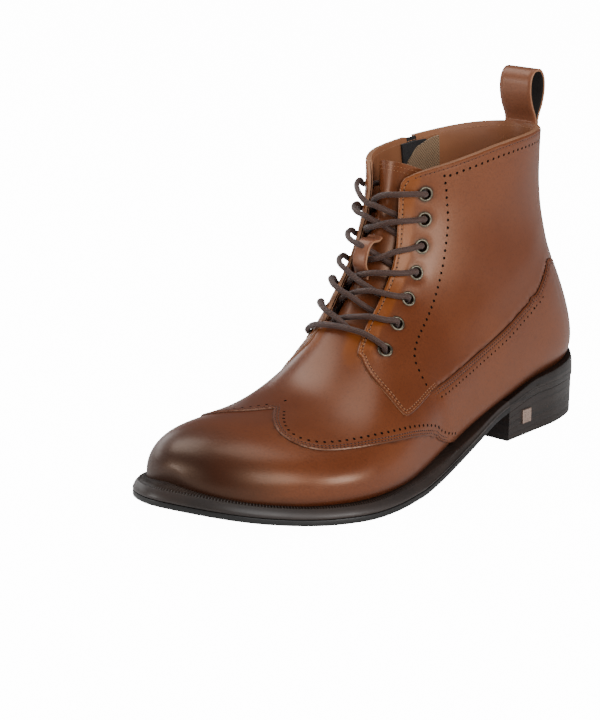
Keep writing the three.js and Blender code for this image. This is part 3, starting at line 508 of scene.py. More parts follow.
def circle_on_last(place, radius, sides):
    """Round outline on the surface of the last, as (section, angle) places."""
    places = np.repeat(np.array(place, float)[None], sides, 0)
    onward, _, normal = last_slopes(places)
    first = onward / np.linalg.norm(onward, axis=1)[:, None]
    second = np.cross(normal, first)
    turn = 2 * np.pi * np.arange(sides)[:, None] / sides
    return moved_on_last(places, radius * (np.cos(turn) * first + np.sin(turn) * second))


def cut_panel(outline, extra, cuts, pricks, spacing, layout=leg_layout, places=leg_places):
    """Triangles of a panel: its outline, more places to keep, through holes and pricked holes.
    Returns the places, the triangles and which of them lie in a pricked hole."""
    polygon = layout(np.asarray(outline, float))
    holes = [layout(c) for c in cuts]
    dots = [layout(c) for c in pricks]
    low, high = polygon.min(0), polygon.max(0)
    grid = np.stack(np.meshgrid(
        np.arange(low[0], high[0], spacing),
        np.arange(low[1], high[1], spacing),
        indexing="ij",
    ), -1).reshape(-1, 2)
    loose = np.concatenate([grid, *[layout(e) for e in extra]]) if extra else grid
    loose = loose[inside(loose, polygon)]
    rims = np.concatenate([polygon, *holes, *dots])
    loose = loose[nearest(loose, rims)[0] > RIM_CLEARANCE * spacing]
    bases = [polygon, *holes, *dots]
    points = np.concatenate([*bases, loose])
    edges = []
    start = 0
    for base in bases:
        count = len(base)
        edges += [(start + k, start + (k + 1) % count) for k in range(count)]
        start += count
    made = delaunay_2d_cdt([Vector(p) for p in points], edges, [], 0, MERGE_DISTANCE)
    flat = np.array([tuple(v) for v in made[0]])
    faces = np.array(made[2])
    centre = flat[faces].mean(1)
    keep = inside(centre, polygon)
    for hole in holes:
        keep &= ~inside(centre, hole)
    faces, centre = faces[keep], centre[keep]
    in_prick = np.zeros(len(faces), bool)
    for dot in dots:
        middle = dot.mean(0)
        reach = np.abs(dot - middle).max() * 1.5
        close = np.flatnonzero(np.abs(centre - middle).max(1) < reach)
        in_prick[close] |= inside(centre[close], dot)
    return places(flat), faces, in_prick


def boundary_edges(faces):
    """Edges that belong to one triangle only, in that triangle's direction."""
    edges = np.concatenate([faces[:, [0, 1]], faces[:, [1, 2]], faces[:, [2, 0]]])
    order = np.sort(edges, axis=1)
    _, first, counts = np.unique(order, axis=0, return_index=True, return_counts=True)
    return edges[first[counts == 1]]


def add_object(name, points, faces, materials, kinds=None, sharp=35):
    """Mesh object from points in shoe millimetres, smooth but for its sharp edges."""
    mesh = bpy.data.meshes.new(name)
    mesh.from_pydata(to_frame(points).tolist(), [], [list(map(int, f)) for f in faces])
    for material in materials:
        mesh.materials.append(material)
    if kinds is not None:
        mesh.polygons.foreach_set("material_index", np.asarray(kinds, np.int32))
    mesh.polygons.foreach_set("use_smooth", np.ones(len(mesh.polygons), bool))
    mesh.set_sharp_from_angle(angle=math.radians(sharp))
    mesh.update()
    piece = bpy.data.objects.new(name, mesh)
    bpy.context.scene.collection.objects.link(piece)
    return piece


PRICK_DEPTH = 1.0
CUT_EDGE_REACH = 1.0


def leather_panel(name, cut, top, bottom, materials, edge_points):
    """Closed panel from cut triangles: top and bottom give its faces' offsets over the last.
    Its materials are the grain side, the cut edge, a near-black finish and the flesh side; the near-black
    finish paints shade in the pricked holes and darkens the walls away from the given edges."""
    places, faces, in_prick = cut
    base = last_point(places)
    normal = last_slopes(places)[2]
    upper = base + normal * top[:, None]
    lower = base + normal * bottom[:, None]
    count = len(places)
    points = [upper, lower]
    rows = [faces[~in_prick], faces[:, ::-1] + count]
    kinds = [np.zeros((~in_prick).sum(), int), np.full(len(faces), 3)]
    rim = boundary_edges(faces)
    walls = np.concatenate([
        np.stack([rim[:, 1], rim[:, 0], rim[:, 0] + count], 1),
        np.stack([rim[:, 1], rim[:, 0] + count, rim[:, 1] + count], 1),
    ])
    rows.append(walls)
    near_edge = nearest(base[rim[:, 0]], edge_points)[0] < CUT_EDGE_REACH
    kinds.append(np.tile(np.where(near_edge, 1, 2), 2))
    if in_prick.any():
        floor_faces = faces[in_prick]
        used, index = np.unique(floor_faces, return_inverse=True)
        points.append(upper[used] - normal[used] * PRICK_DEPTH)
        floor = index.reshape(-1, 3) + 2 * count
        rows.append(floor)
        kinds.append(np.full(len(floor), 2))
        ring = boundary_edges(floor_faces)
        deep = np.searchsorted(used, ring) + 2 * count
        rows.append(np.concatenate([
            np.stack([ring[:, 0], ring[:, 1], deep[:, 1]], 1),
            np.stack([ring[:, 0], deep[:, 1], deep[:, 0]], 1),
        ]))
        kinds.append(np.full(2 * len(ring), 2))
    piece = add_object(name, np.concatenate(points), np.concatenate(rows), materials, np.concatenate(kinds))
    masks = darkening_and_sheen_masks(base)
    for label, values in masks.items():
        full = [values, values]
        if in_prick.any():
            full.append(values[used])
        attribute = piece.data.attributes.new(label, "FLOAT", "POINT")
        attribute.data.foreach_set("value", np.concatenate(full).astype(np.float32))
    return piece


# Darkened zones: the burnished toe, darker bands along the feather line and round the eyelets, and painted
# crease shade beside the seams; each full up to one distance in millimetres, gone at the next, and with how
# dark it gets
TOE_BURNISH = (8, 58, 0.85)
FEATHER_DARKENING = (0.5, 10, 0.6)
EYELET_DARKENING = (4.0, 5.4, 0.7)
# Painted crease shade beside the seams, the wing edge and the tab lines
SEAM_CREASE_SHADE = (0.15, 1.3, 0.55)
# Painted sheen band: an orange tone along the facing edges, where their sheen changes
SHEEN_BAND_WIDTH = (6.5, 8.5)
SHEEN_BAND_SECTIONS = (9.6, 10.2)


def faded(full, gone, distance):
    """One up to the first distance, nothing from the next on."""
    return 1 - smoothstep(full, gone, distance)


def darkening_and_sheen_masks(base):
    """Where a panel is darkened (burnished toe, darker feather line and eyelet rims, painted seam shade) and
    where the painted sheen band of the facing lies, from 0 to 1.
    """
    along_facing = smoothstep(*SHEEN_BAND_SECTIONS, nearest_section(base))
    painted_sheen_band = faded(*SHEEN_BAND_WIDTH, nearest(base, facing_points)[0]) * along_facing
    zones = (
        (TOE_BURNISH, SOLE_LENGTH - base[:, 0]),
        (FEATHER_DARKENING, base[:, 2] - feather_z(base[:, 0])),
        (EYELET_DARKENING, nearest(base, eyelet_points)[0]),
        (SEAM_CREASE_SHADE, nearest(base, seam_lines)[0]),
    )
    burnish_and_shade = [depth * faded(full, gone, distance) for (full, gone, depth), distance in zones]
    return {"burnish_and_shade": np.maximum.reduce(burnish_and_shade), "painted_sheen_band": painted_sheen_band}


def nearest_section(base):
    """Section of the facing line nearest to each point."""
    return np.concatenate([facing_line, facing_inner])[nearest(base, facing_points)[1], 0]


def facing_out(cut):
    """Turns the triangles so that they face away from the last."""
    places, faces, in_prick = cut
    base = last_point(places)
    normal = last_slopes(places)[2]
    a, b, c = (base[faces[:, k]] for k in range(3))
    turned = (np.cross(b - a, c - a) * normal[faces[:, 0]]).sum(1) < 0
    faces = np.where(turned[:, None], faces[:, ::-1], faces)
    return places, faces, in_prick


# Lines of the upper, each from the back or the bottom onwards
facing_line = line_on_last([*TAB_EDGE, *FACING_EDGE])
facing_inner = line_on_last(mirrored([*TAB_EDGE, *FACING_EDGE]))
seam_line = line_on_last(COUNTER_SEAM)
seam_inner = line_on_last(mirrored(COUNTER_SEAM))
WING_MARGIN = 5.2


def beside_both(outer, inner, distance):
    """Line beside two lines that meet in a point, cut where its halves would cross."""
    both = last_point(np.concatenate([outer, inner]))
    halves = []
    for line, sign in ((outer, -1), (inner, 1)):
        moved = beside(line, sign * distance)
        halves.append(moved[nearest(last_point(moved), both)[0] > CORNER_SHARE * distance])
    return np.concatenate([halves[0][::-1], halves[1]])


wing_outer_holes = line_on_last([*WING_HOLES, *WING_TAIL])
wing_inner_holes = line_on_last([*WING_HOLES_INNER, *WING_TAIL_INNER])
tab_corner = [*COUNTER_SEAM[:5][::-1], *TAB_EDGE[1:], *FACING_EDGE[:3]]
tab_line = line_on_last(tab_corner)
tab_line_inner = line_on_last(mirrored(tab_corner))
facing_only = line_on_last(FACING_EDGE[1:])
facing_only_inner = line_on_last(mirrored(FACING_EDGE[1:]))
wing_edge = beside_both(wing_outer_holes, wing_inner_holes, WING_MARGIN)
BARTACK_SECTION = 10.62
COLLAR_SEARCH = (15, 21)
seam_behind = seam_line[seam_line[:, 0] > BARTACK_SECTION]
seam_behind_inner = seam_inner[seam_inner[:, 0] > BARTACK_SECTION]
collar_angles = np.arange(61.0, -242.0, -1.0)
collar_sections = section_where(collar_angles, *COLLAR_SEARCH, collar_z)
collar_edge = np.stack([collar_sections, collar_angles], -1)

seam_points = last_point(np.concatenate([seam_behind, seam_behind_inner]))
seam_from_back = np.abs(np.concatenate([seam_behind[:, 1] + 90, seam_behind_inner[:, 1] - 270]))
seam_run = np.concatenate([lengths_along(last_point(line)) for line in (seam_behind, seam_behind_inner)])
facing_points = last_point(np.concatenate([facing_line, facing_inner]))
tab_seam = np.concatenate([
    seam_line[seam_line[:, 0] <= BARTACK_SECTION],
    seam_inner[seam_inner[:, 0] <= BARTACK_SECTION],
])
collar_points = last_point(collar_edge)
quarter_edge_points = np.concatenate([facing_points, last_point(tab_seam), collar_points])

# Lines beside which painted crease shade darkens the leather
seam_lines = np.concatenate([
    seam_points, *[last_point(line) for line in (wing_edge, tab_line, tab_line_inner)],
])

# The counter's lap: its lift, and the distances over which it rises, thins out and meets the back
COUNTER_LIFT = 0.95
COUNTER_RISE_LENGTH = 9.0
COUNTER_REAR = (55, 95)
COUNTER_REAR_DEPTH = 0.42
COUNTER_FADE = (2, 34)
COUNTER_FADE_DEPTH = 0.75
QUARTER_SINK = 0.85
QUARTER_FADE = (2, 22)


def seam_share(base):
    """Distance to the counter seam, and how far its lap has risen there."""
    distance, index = nearest(base, seam_points)
    return distance, smoothstep(0, COUNTER_RISE_LENGTH, seam_run[index])


def vamp_height(base):
    """Lift of the counter over the last, less at the back of the boot."""
    distance, risen = seam_share(base)
    rear = faded(*COUNTER_REAR, seam_from_back[nearest(base, seam_points)[1]])
    ahead = 1 - COUNTER_FADE_DEPTH * smoothstep(*COUNTER_FADE, distance)
    return COUNTER_LIFT * risen * ahead * (1 - COUNTER_REAR_DEPTH * rear)


def quarter_height(base):
    """Lift of the quarters over the last, less where they go under the counter."""
    distance, risen = seam_share(base)
    return QUARTER_LIFT - QUARTER_SINK * risen * faded(*QUARTER_FADE, distance)


# A cut edge's rounding, as (distance in, drop), and the groove under a row of stitches
EDGE_ROUND = [(0.0, -0.42), (0.12, -0.2), (0.3, -0.06), (0.55, 0.0)]
GROOVE_HALF = 0.45
GROOVE_DEPTH = 0.16


def edge_drop(distance, rows):
    """Rounded cut edge with a shallow groove under each stitch row."""
    knots = list(EDGE_ROUND)
    for row in rows:
        knots += [(row - GROOVE_HALF, 0.0), (row, -GROOVE_DEPTH), (row + GROOVE_HALF, 0.0)]
    at, drop = zip(*knots)
    return np.interp(distance, at, drop)


EYELET_DIMPLE = 0.35
EYELET_DIMPLE_REACH = (3, 7)
FACING_THINNING = 0.55
FACING_THIN_REACH = (2, 8)
eyelet_places = np.array([*EYELETS, *mirrored(EYELETS)])
eyelet_points = last_point(eyelet_places)


def facing_swell(base):
    """The facing lies lower along its edge and dips round each eyelet."""
    to_edge = nearest(base, facing_points)[0]
    to_eyelet = nearest(base, eyelet_points)[0]
    dip = EYELET_DIMPLE * faded(*EYELET_DIMPLE_REACH, to_eyelet)
    return -FACING_THINNING * faded(*FACING_THIN_REACH, to_edge) - dip


# Stitch rows as distances from their edges, and the pricked holes
WING_ROWS = (1.3, 2.7)
SEAM_ROWS = (1.4, 2.9)
TAB_ROWS = (1.3, 2.6)
FACING_ROWS = (2.1,)
HOLE_RADIUS = 0.76
HOLE_PITCH = 3.95
HOLE_SIDES = 9
SEAM_HOLE_RADIUS = 0.6
SEAM_HOLE_PITCH = 0.93 * HOLE_PITCH
SEAM_HOLES_IN = 5.6
FACING_HOLE_PITCH = 0.97 * HOLE_PITCH
COLLAR_HOLES_IN = 5.8
COLLAR_HOLE_SPANS = [(38, -88), (-94, -174), (-188, -216)]


def dots_along(line, pitch, radius=HOLE_RADIUS, skip=0.0):
    """Outlines of the pricked holes along a line."""
    points = last_point(line)
    count = int((lengths_along(points)[-1] - skip) / pitch)
    at = skip + np.arange(count + 1) * pitch
    return [circle_on_last(centre, radius, HOLE_SIDES) for centre in spaced(line, at, points)]


# Distances from a panel's edge at which its surface gets rows of points
ROW_PLACES = (0.12, 0.3, 0.55, 0.9, 1.4, 1.85, 2.2, 2.65, 3.1, 3.6, 4.6)
QUARTER_ROW_PLACES = ROW_PLACES[:9]


# Surfaces and finishes
def new_nodes(name):
    """A new material, its node tree and its shader."""
    material = bpy.data.materials.new(name)
    material.use_nodes = True
    tree = material.node_tree
    return material, tree, tree.nodes["Principled BSDF"]


def node(tree, kind, inputs=None, **settings):
    """A new node; an input is a plain value or another node's output."""
    made = tree.nodes.new(kind)
    for key, value in settings.items():
        setattr(made, key, value)
    for key, value in (inputs or {}).items():
        if isinstance(value, bpy.types.NodeSocket):
            tree.links.new(value, made.inputs[key])
        else:
            made.inputs[key].default_value = value
    return made


def colour(red, green, blue):
    """Screen colour of 0 to 255 to the shader's linear colour."""
    def linear(v):
        v /= 255
        return v / 12.92 if v <= 0.04045 else ((v + 0.055) / 1.055) ** 2.4

    return (linear(red), linear(green), linear(blue), 1.0)


def mix(tree, share, first, second, blend="MIX"):
    made = node(tree, "ShaderNodeMix", data_type="RGBA", blend_type=blend)
    for socket, value in zip((made.inputs[0], made.inputs[6], made.inputs[7]), (share, first, second)):
        if isinstance(value, bpy.types.NodeSocket):
            tree.links.new(value, socket)
        else:
            socket.default_value = value
    return made.outputs[2]


def calculate(tree, kind, first, second=0.5):
    made = node(tree, "ShaderNodeMath", operation=kind)
    for socket, value in zip(made.inputs, (first, second)):
        if isinstance(value, bpy.types.NodeSocket):
            tree.links.new(value, socket)
        else:
            socket.default_value = value
    return made.outputs[0]


def ranged(tree, value, low, high, to_low=0.0, to_high=1.0):
    """A value brought smoothly from one range to another."""
    made = node(tree, "ShaderNodeMapRange", {0: value, 1: low, 2: high, 3: to_low, 4: to_high})
    made.interpolation_type = "SMOOTHSTEP"
    return made.outputs[0]


def new_group(name, inputs, outputs):
    """A new shader node group with its named inputs and outputs."""
    group = bpy.data.node_groups.new(name, "ShaderNodeTree")
    for label, kind, value in inputs:
        socket = group.interface.new_socket(label, in_out="INPUT", socket_type=kind)
        socket.default_value = value
    for label, kind in outputs:
        group.interface.new_socket(label, in_out="OUTPUT", socket_type=kind)
    return group, group.nodes.new("NodeGroupInput"), group.nodes.new("NodeGroupOutput")


def leather_grain_group():
    """Fine pores and wrinkles of a polished hide, and a slow drift of its tone."""
    group, given, result = new_group(
        "leather_grain",
        [("Pore Size", "NodeSocketFloat", 2200.0), ("Wrinkle Size", "NodeSocketFloat", 420.0)],
        [("Height", "NodeSocketFloat"), ("Drift", "NodeSocketFloat"), ("Fleck", "NodeSocketFloat")],
    )
    place = node(group, "ShaderNodeTexCoord").outputs["Object"]
    pores = node(group, "ShaderNodeTexVoronoi", {"Vector": place, "Scale": given.outputs["Pore Size"]})
    wrinkle_size = given.outputs["Wrinkle Size"]
    wrinkles = node(group, "ShaderNodeTexNoise", {"Vector": place, "Scale": wrinkle_size, "Detail": 4.0})
    drift = node(group, "ShaderNodeTexNoise", {"Vector": place, "Scale": 16.0, "Detail": 3.0})
    fleck = node(group, "ShaderNodeTexNoise", {"Vector": place, "Scale": 900.0, "Detail": 2.0})
    pore_height = calculate(group, "MULTIPLY", pores.outputs["Distance"], 0.5)
    height = calculate(group, "ADD", pore_height, wrinkles.outputs["Fac"])
    group.links.new(height, result.inputs["Height"])
    group.links.new(drift.outputs["Fac"], result.inputs["Drift"])
    group.links.new(fleck.outputs["Fac"], result.inputs["Fleck"])
    return group


def woven_group():
    """Over and under threads of a woven or braided cord or tape."""
    group, given, result = new_group(
        "woven_threads",
        [("Threads", "NodeSocketFloat", 900.0), ("Tilt", "NodeSocketFloat", 0.785)],
        [("Height", "NodeSocketFloat"), ("Fibre", "NodeSocketFloat")],
    )
    place = node(group, "ShaderNodeTexCoord").outputs["Object"]
    turn = {"Vector": place, "Angle": given.outputs["Tilt"]}
    turned = node(group, "ShaderNodeVectorRotate", turn, rotation_type="Y_AXIS")
    wave = {"Vector": turned.outputs[0], "Scale": given.outputs["Threads"]}
    first = node(group, "ShaderNodeTexWave", wave, bands_direction="X")
    second = node(group, "ShaderNodeTexWave", wave, bands_direction="Z")
    fibre = node(group, "ShaderNodeTexNoise", {"Vector": place, "Scale": 3500.0, "Detail": 3.0})
    threads = calculate(group, "MAXIMUM", first.outputs["Fac"], second.outputs["Fac"])
    group.links.new(threads, result.inputs["Height"])
    group.links.new(fibre.outputs["Fac"], result.inputs["Fibre"])
    return group


GRAIN = leather_grain_group()
WOVEN = woven_group()


def place_group(tree, group, **values):
    made = tree.nodes.new("ShaderNodeGroup")
    made.node_tree = group
    for key, value in values.items():
        made.inputs[key.replace("_", " ")].default_value = value
    return made


def bump(tree, shader, height, strength, distance):
    made = node(tree, "ShaderNodeBump", {"Height": height, "Strength": strength, "Distance": distance})
    tree.links.new(made.outputs["Normal"], shader.inputs["Normal"])


def calf_finish(name, base, dark, light, painted_sheen_band=None, roughness=0.3, coat=0.14):
    """Polished calf with pores, fine wrinkles and a drift of tone, dark where it is burnished or where
    painted crease shade lies, and with a painted sheen band when a band colour is given.
    """
    material, tree, shader = new_nodes(name)
    grain = place_group(tree, GRAIN)
    tone = mix(tree, ranged(tree, grain.outputs["Drift"], 0.35, 0.68), base, light)
    flecks = calculate(tree, "MULTIPLY", ranged(tree, grain.outputs["Fleck"], 0.45, 0.75), 0.22)
    tone = mix(tree, flecks, tone, dark)
    if painted_sheen_band is not None:
        # Painted sheen band along the facings, as an orange tone
        sheen_band_share = node(tree, "ShaderNodeAttribute", attribute_name="painted_sheen_band").outputs["Fac"]
        tone = mix(tree, calculate(tree, "MULTIPLY", sheen_band_share, 0.8), tone, painted_sheen_band)
        # Burnished toe, darker feather line and eyelet rims, and painted crease shade along the seams
        burnish_and_shade_share = node(tree, "ShaderNodeAttribute", attribute_name="burnish_and_shade").outputs["Fac"]
        patchy = calculate(tree, "ADD", burnish_and_shade_share, ranged(tree, grain.outputs["Drift"], 0.3, 0.7, -0.12, 0.12))
        tone = mix(tree, ranged(tree, patchy, 0.02, 0.95), tone, dark)
    tree.links.new(tone, shader.inputs["Base Color"])
    shader.inputs["Coat Weight"].default_value = coat
    shader.inputs["Coat Roughness"].default_value = 0.2
    shader.inputs["Coat IOR"].default_value = 1.45
    shader.inputs["Specular IOR Level"].default_value = 0.75
    shader.inputs["Specular Tint"].default_value = (1.0, 0.66, 0.45, 1.0)
    rough = ranged(tree, grain.outputs["Drift"], 0.3, 0.7, roughness, roughness + 0.14)
    tree.links.new(rough, shader.inputs["Roughness"])
    bump(tree, shader, grain.outputs["Height"], 0.12, 0.00012)
    return material


def hide_finish(name, base, other, roughness=0.6, pores=1500.0):
    """Unpolished leather: lining, flesh side or a cut edge."""
    material, tree, shader = new_nodes(name)
    grain = place_group(tree, GRAIN, Pore_Size=pores, Wrinkle_Size=260.0)
    tone = mix(tree, ranged(tree, grain.outputs["Drift"], 0.3, 0.7), base, other)
    tone = mix(tree, ranged(tree, grain.outputs["Fleck"], 0.5, 0.9, 0.0, 0.35), tone, other)
    tree.links.new(tone, shader.inputs["Base Color"])
    shader.inputs["Roughness"].default_value = roughness
    bump(tree, shader, grain.outputs["Height"], 0.25, 0.0002)
    return material


def plain_metal(name, base, roughness, scratch=0.12):
    """Bare metal with fine scratches and dull spots."""
    material, tree, shader = new_nodes(name)
    place = node(tree, "ShaderNodeTexCoord").outputs["Object"]
    marks = node(tree, "ShaderNodeTexNoise", {"Vector": place, "Scale": 1400.0, "Detail": 4.0})
    dark = tuple(c * 0.55 for c in base[:3]) + (1.0,)
    tone = mix(tree, ranged(tree, marks.outputs["Fac"], 0.4, 0.75), base, dark)
    tree.links.new(tone, shader.inputs["Base Color"])
    shader.inputs["Metallic"].default_value = 1.0
    rough = ranged(tree, marks.outputs["Fac"], 0.3, 0.7, roughness, roughness + scratch)
    tree.links.new(rough, shader.inputs["Roughness"])
    bump(tree, shader, marks.outputs["Fac"], 0.08, 0.0001)
    return material


def cloth_finish(name, base, other, threads, roughness=0.8, depth=0.00025, tilt=0.785):
    """Woven cloth, braided cord or thread."""
    material, tree, shader = new_nodes(name)
    weave = place_group(tree, WOVEN, Threads=threads, Tilt=tilt)
    tone = mix(tree, weave.outputs["Height"], other, base)
    tone = mix(tree, ranged(tree, weave.outputs["Fibre"], 0.35, 0.8, 0.0, 0.45), tone, other)
    tree.links.new(tone, shader.inputs["Base Color"])
    shader.inputs["Roughness"].default_value = roughness
    shader.inputs["Sheen Weight"].default_value = 0.15
    bump(tree, shader, weave.outputs["Height"], 0.5, depth)
    return material


def edge_finish(name, base, other, layers, roughness=0.42, strength=0.25):
    """Waxed sole edge or stacked heel: fine layer lines along it."""
    material, tree, shader = new_nodes(name)
    place = node(tree, "ShaderNodeTexCoord").outputs["Object"]
    stretched = node(tree, "ShaderNodeMapping", {"Vector": place, "Scale": (14.0, 14.0, layers)})
    look = {"Vector": stretched.outputs[0], "Scale": 1.0, "Detail": 5.0, "Roughness": 0.65}
    lines = node(tree, "ShaderNodeTexNoise", look)
    tone = mix(tree, ranged(tree, lines.outputs["Fac"], 0.35, 0.68), base, other)
    tree.links.new(tone, shader.inputs["Base Color"])
    shader.inputs["Coat Weight"].default_value = 0.25
    shader.inputs["Coat Roughness"].default_value = 0.3
    rough = ranged(tree, lines.outputs["Fac"], 0.3, 0.7, roughness, roughness + 0.12)
    tree.links.new(rough, shader.inputs["Roughness"])
    bump(tree, shader, lines.outputs["Fac"], strength, 0.0002)
    return material


CHESTNUT = colour(108, 53, 27)
DEEP_BROWN = colour(44, 18, 10)
WARM_BROWN = colour(122, 64, 34)
# Its band colour is a painted sheen band along the facing edges
calf = calf_finish("calf_chestnut", CHESTNUT, DEEP_BROWN, WARM_BROWN, painted_sheen_band=colour(140, 72, 22))
calf_tongue = calf_finish("calf_tongue", colour(112, 58, 30), DEEP_BROWN, colour(126, 68, 38))
# Lighter copy of the calf for the keeper and the pull loop: a painted highlight
calf_strap_painted_highlight = calf_finish(
    "calf_strap_painted_highlight", colour(132, 80, 56), DEEP_BROWN, colour(148, 92, 66), roughness=0.38, coat=0.25
)
cut_edge = hide_finish("cut_edge_tan", colour(186, 136, 102), colour(146, 98, 68))
dark_edge = hide_finish("cut_edge_dark", colour(82, 40, 20), colour(50, 24, 14))
# Near-black finish: painted shade in the pricked and needle holes, and the dark edge of walls away from the
# given edges
hole_shade_and_dark_edge = hide_finish("hole_shade_dark_edge", colour(26, 12, 8), colour(40, 20, 12), roughness=0.8)
lining = hide_finish("lining_tan", colour(170, 114, 78), colour(148, 94, 62), roughness=0.5)
flesh = hide_finish("flesh_side", colour(120, 84, 58), colour(96, 66, 44), roughness=0.85)
grey_suede = hide_finish("strap_lining_grey", colour(58, 50, 46), colour(40, 35, 33), roughness=0.9)
thread_tan = cloth_finish("thread_tan", colour(196, 140, 96), colour(140, 88, 52), 2500.0)
thread_brown = cloth_finish("thread_brown", colour(124, 70, 42), colour(84, 44, 26), 2500.0)
cord = cloth_finish("waxed_cord", colour(84, 54, 42), colour(44, 26, 20), 620.0, roughness=0.5)
tape = cloth_finish("zip_tape_black", colour(30, 29, 32), colour(12, 12, 14), 700.0)
guard = cloth_finish("guard_cloth", colour(176, 146, 112), colour(96, 72, 50), 260.0, depth=0.0006)
brass = plain_metal("antique_ring", colour(128, 120, 104), 0.3)
steel = plain_metal("zip_steel", colour(170, 168, 166), 0.25)
rose_plate = plain_metal("rose_plate", colour(226, 196, 180), 0.22)
welt_edge = edge_finish("waxed_welt", colour(56, 44, 38), colour(34, 26, 22), 60.0)
heel_edge = edge_finish("stacked_heel", colour(38, 26, 20), colour(22, 15, 12), 620.0, strength=0.3)
rubber = edge_finish("outsole_black", colour(22, 19, 18), colour(13, 11, 11), 300.0, roughness=0.5)

LEATHER_SET = (calf, cut_edge, hole_shade_and_dark_edge, flesh)


# Stitches
def evenly(base, pitch):
    """Length of a row and the whole number of stitches that fits it."""
    run = lengths_along(base)[-1]
    return run, max(int(run / pitch), 1)


# A stitch from end to end: share of its length, of its thickness, and how far it is lifted in radii
STITCH_SHAPE = [(-0.5, 0.4, -0.9), (-0.38, 0.8, -0.35), (0.0, 1.0, 0.0), (0.38, 0.8, -0.35), (0.5, 0.4, -0.9)]
STITCH_AIM = 0.3
STITCH_SINK = 0.08


def stitches(name, rows, material, length, radius, pitch, outward=1):
    """Rows of thread on the leather, each stitch arched with its ends sunk in.
    A row is a line of (section, angle) places with the height of the leather along it."""
    sides = 6
    blocks, faces, start = [], [], 0
    block = len(STITCH_SHAPE) * sides
    turn = 2 * np.pi * np.arange(sides) / sides
    for line, height in rows:
        base = last_point(line)
        run, count = evenly(base, pitch)
        middles = (np.arange(count) + 0.5) * run / count
        rings = []
        for share, thick, lift in STITCH_SHAPE:
            at = np.clip(middles + share * length, 0, run)
            places = spaced(line, at, base)
            offsets = np.interp(at, lengths_along(base), height)
            centre = over_last(places, offsets + outward * lift * radius)
            normal = last_slopes(places)[2]
            ahead = last_point(spaced(line, np.clip(at + STITCH_AIM, 0, run), base))
            behind = last_point(spaced(line, np.clip(at - STITCH_AIM, 0, run), base))
            along = ahead - behind
            along /= np.linalg.norm(along, axis=1)[:, None]
            cross = np.cross(normal, along)
            rings.append(centre[:, None] + radius * thick * (
                np.cos(turn)[None, :, None] * cross[:, None] + np.sin(turn)[None, :, None] * normal[:, None]
            ))
        blocks.append(np.stack(rings, 1).reshape(-1, 3))
        for k in range(count):
            first = start + k * block
            for i in range(len(STITCH_SHAPE) - 1):
                for j in range(sides):
                    a = first + i * sides + j
                    b = first + i * sides + (j + 1) % sides
                    faces.append((a, b, b + sides, a + sides))
            faces.append(tuple(first + j for j in reversed(range(sides))))
            faces.append(tuple(first + block - sides + j for j in range(sides)))
        start += count * block
    return add_object(name, np.concatenate(blocks), faces, [material], sharp=80)


NEEDLE_HOLE_RADIUS = 0.44
NEEDLE_HOLE_LIFT = 0.03
NEEDLE_HOLE_CROWN = 0.05
NEEDLE_HOLE_DEPTH = 0.5


def needle_holes(name, rows, pitch):
    """Needle holes between the stitches, as small flat cones in the groove, near-black as painted shade."""
    sides = 7
    blocks, faces, start = [], [], 0
    turn = (2 * np.pi * np.arange(sides) / sides)[None, :, None]
    for line, height in rows:
        base = last_point(line)
        run, count = evenly(base, pitch)
        at = np.arange(count + 1) * run / count
        places = spaced(line, at, base)
        offsets = np.interp(at, lengths_along(base), height) + NEEDLE_HOLE_LIFT
        centre = over_last(places, offsets)
        onward, _, normal = last_slopes(places)
        first = onward / np.linalg.norm(onward, axis=1)[:, None]
        second = np.cross(normal, first)
        spoke = np.cos(turn) * first[:, None] + np.sin(turn) * second[:, None]
        rim = centre[:, None] + NEEDLE_HOLE_RADIUS * spoke
        top = (centre + normal * NEEDLE_HOLE_CROWN)[:, None]
        foot = (centre - normal * NEEDLE_HOLE_DEPTH)[:, None]
        blocks.append(np.concatenate([rim, top, foot], 1).reshape(-1, 3))
        for k in range(count + 1):
            ring = start + k * (sides + 2)
            for j in range(sides):
                a, b = ring + j, ring + (j + 1) % sides
                faces += [(a, b, ring + sides), (b, a, ring + sides + 1)]
        start += (count + 1) * (sides + 2)
    return add_object(name, np.concatenate(blocks), faces, [hole_shade_and_dark_edge], sharp=80)


# Leather panels, cut on a grid of points this far apart in their layouts
PANEL_GRID = 1.15
TOE_GRID = 1.1
LINING_GRID = 1.6
# Where the panels' outlines start, in how many steps they run, and the gaps that keep corners apart
TOE_START = 1.0
WING_LAP = 3.5
TOE_SIDE_STEPS = 160
VAMP_SIDE_STEPS = 150
LINING_SIDE_STEPS = 70
BACK_STEPS = 30
UNDER_MARGIN = 0.5
HEEL_SEARCH = (13.5, 15.5)
CORNER_GAP = 0.02


def make_toe_cap():
    """The toe panel, from the tip to under the wing's edge."""
    lap = beside_both(wing_outer_holes, wing_inner_holes, WING_MARGIN - WING_LAP)
    outer_side = feather_side(np.linspace(TOE_START, lap[0, 0], TOE_SIDE_STEPS))
    inner_side = feather_side(np.linspace(TOE_START, lap[-1, 0], TOE_SIDE_STEPS), inner=True)
    outer_side = outer_side[outer_side[:, 1] > -90 + UNDER_MARGIN]
    inner_side = inner_side[inner_side[:, 1] < 270 - UNDER_MARGIN]
    outline = np.concatenate([outer_side, lap, inner_side[::-1]])
    cut = facing_out(cut_panel(outline, [], [], [], TOE_GRID, toe_layout, toe_places))
    count = len(cut[0])
    top = np.full(count, -TOE_CAP_DROP)
    bottom = np.full(count, -UPPER_WALL)
    return leather_panel("toe_cap", cut, top, bottom, LEATHER_SET, last_point(wing_edge))


def heel_feather_section():
    """Section at which the heel's back line leaves the sole."""
    return float(section_where(np.array([-90.0]), *HEEL_SEARCH, lambda point: feather_z(point[..., 0]))[0])


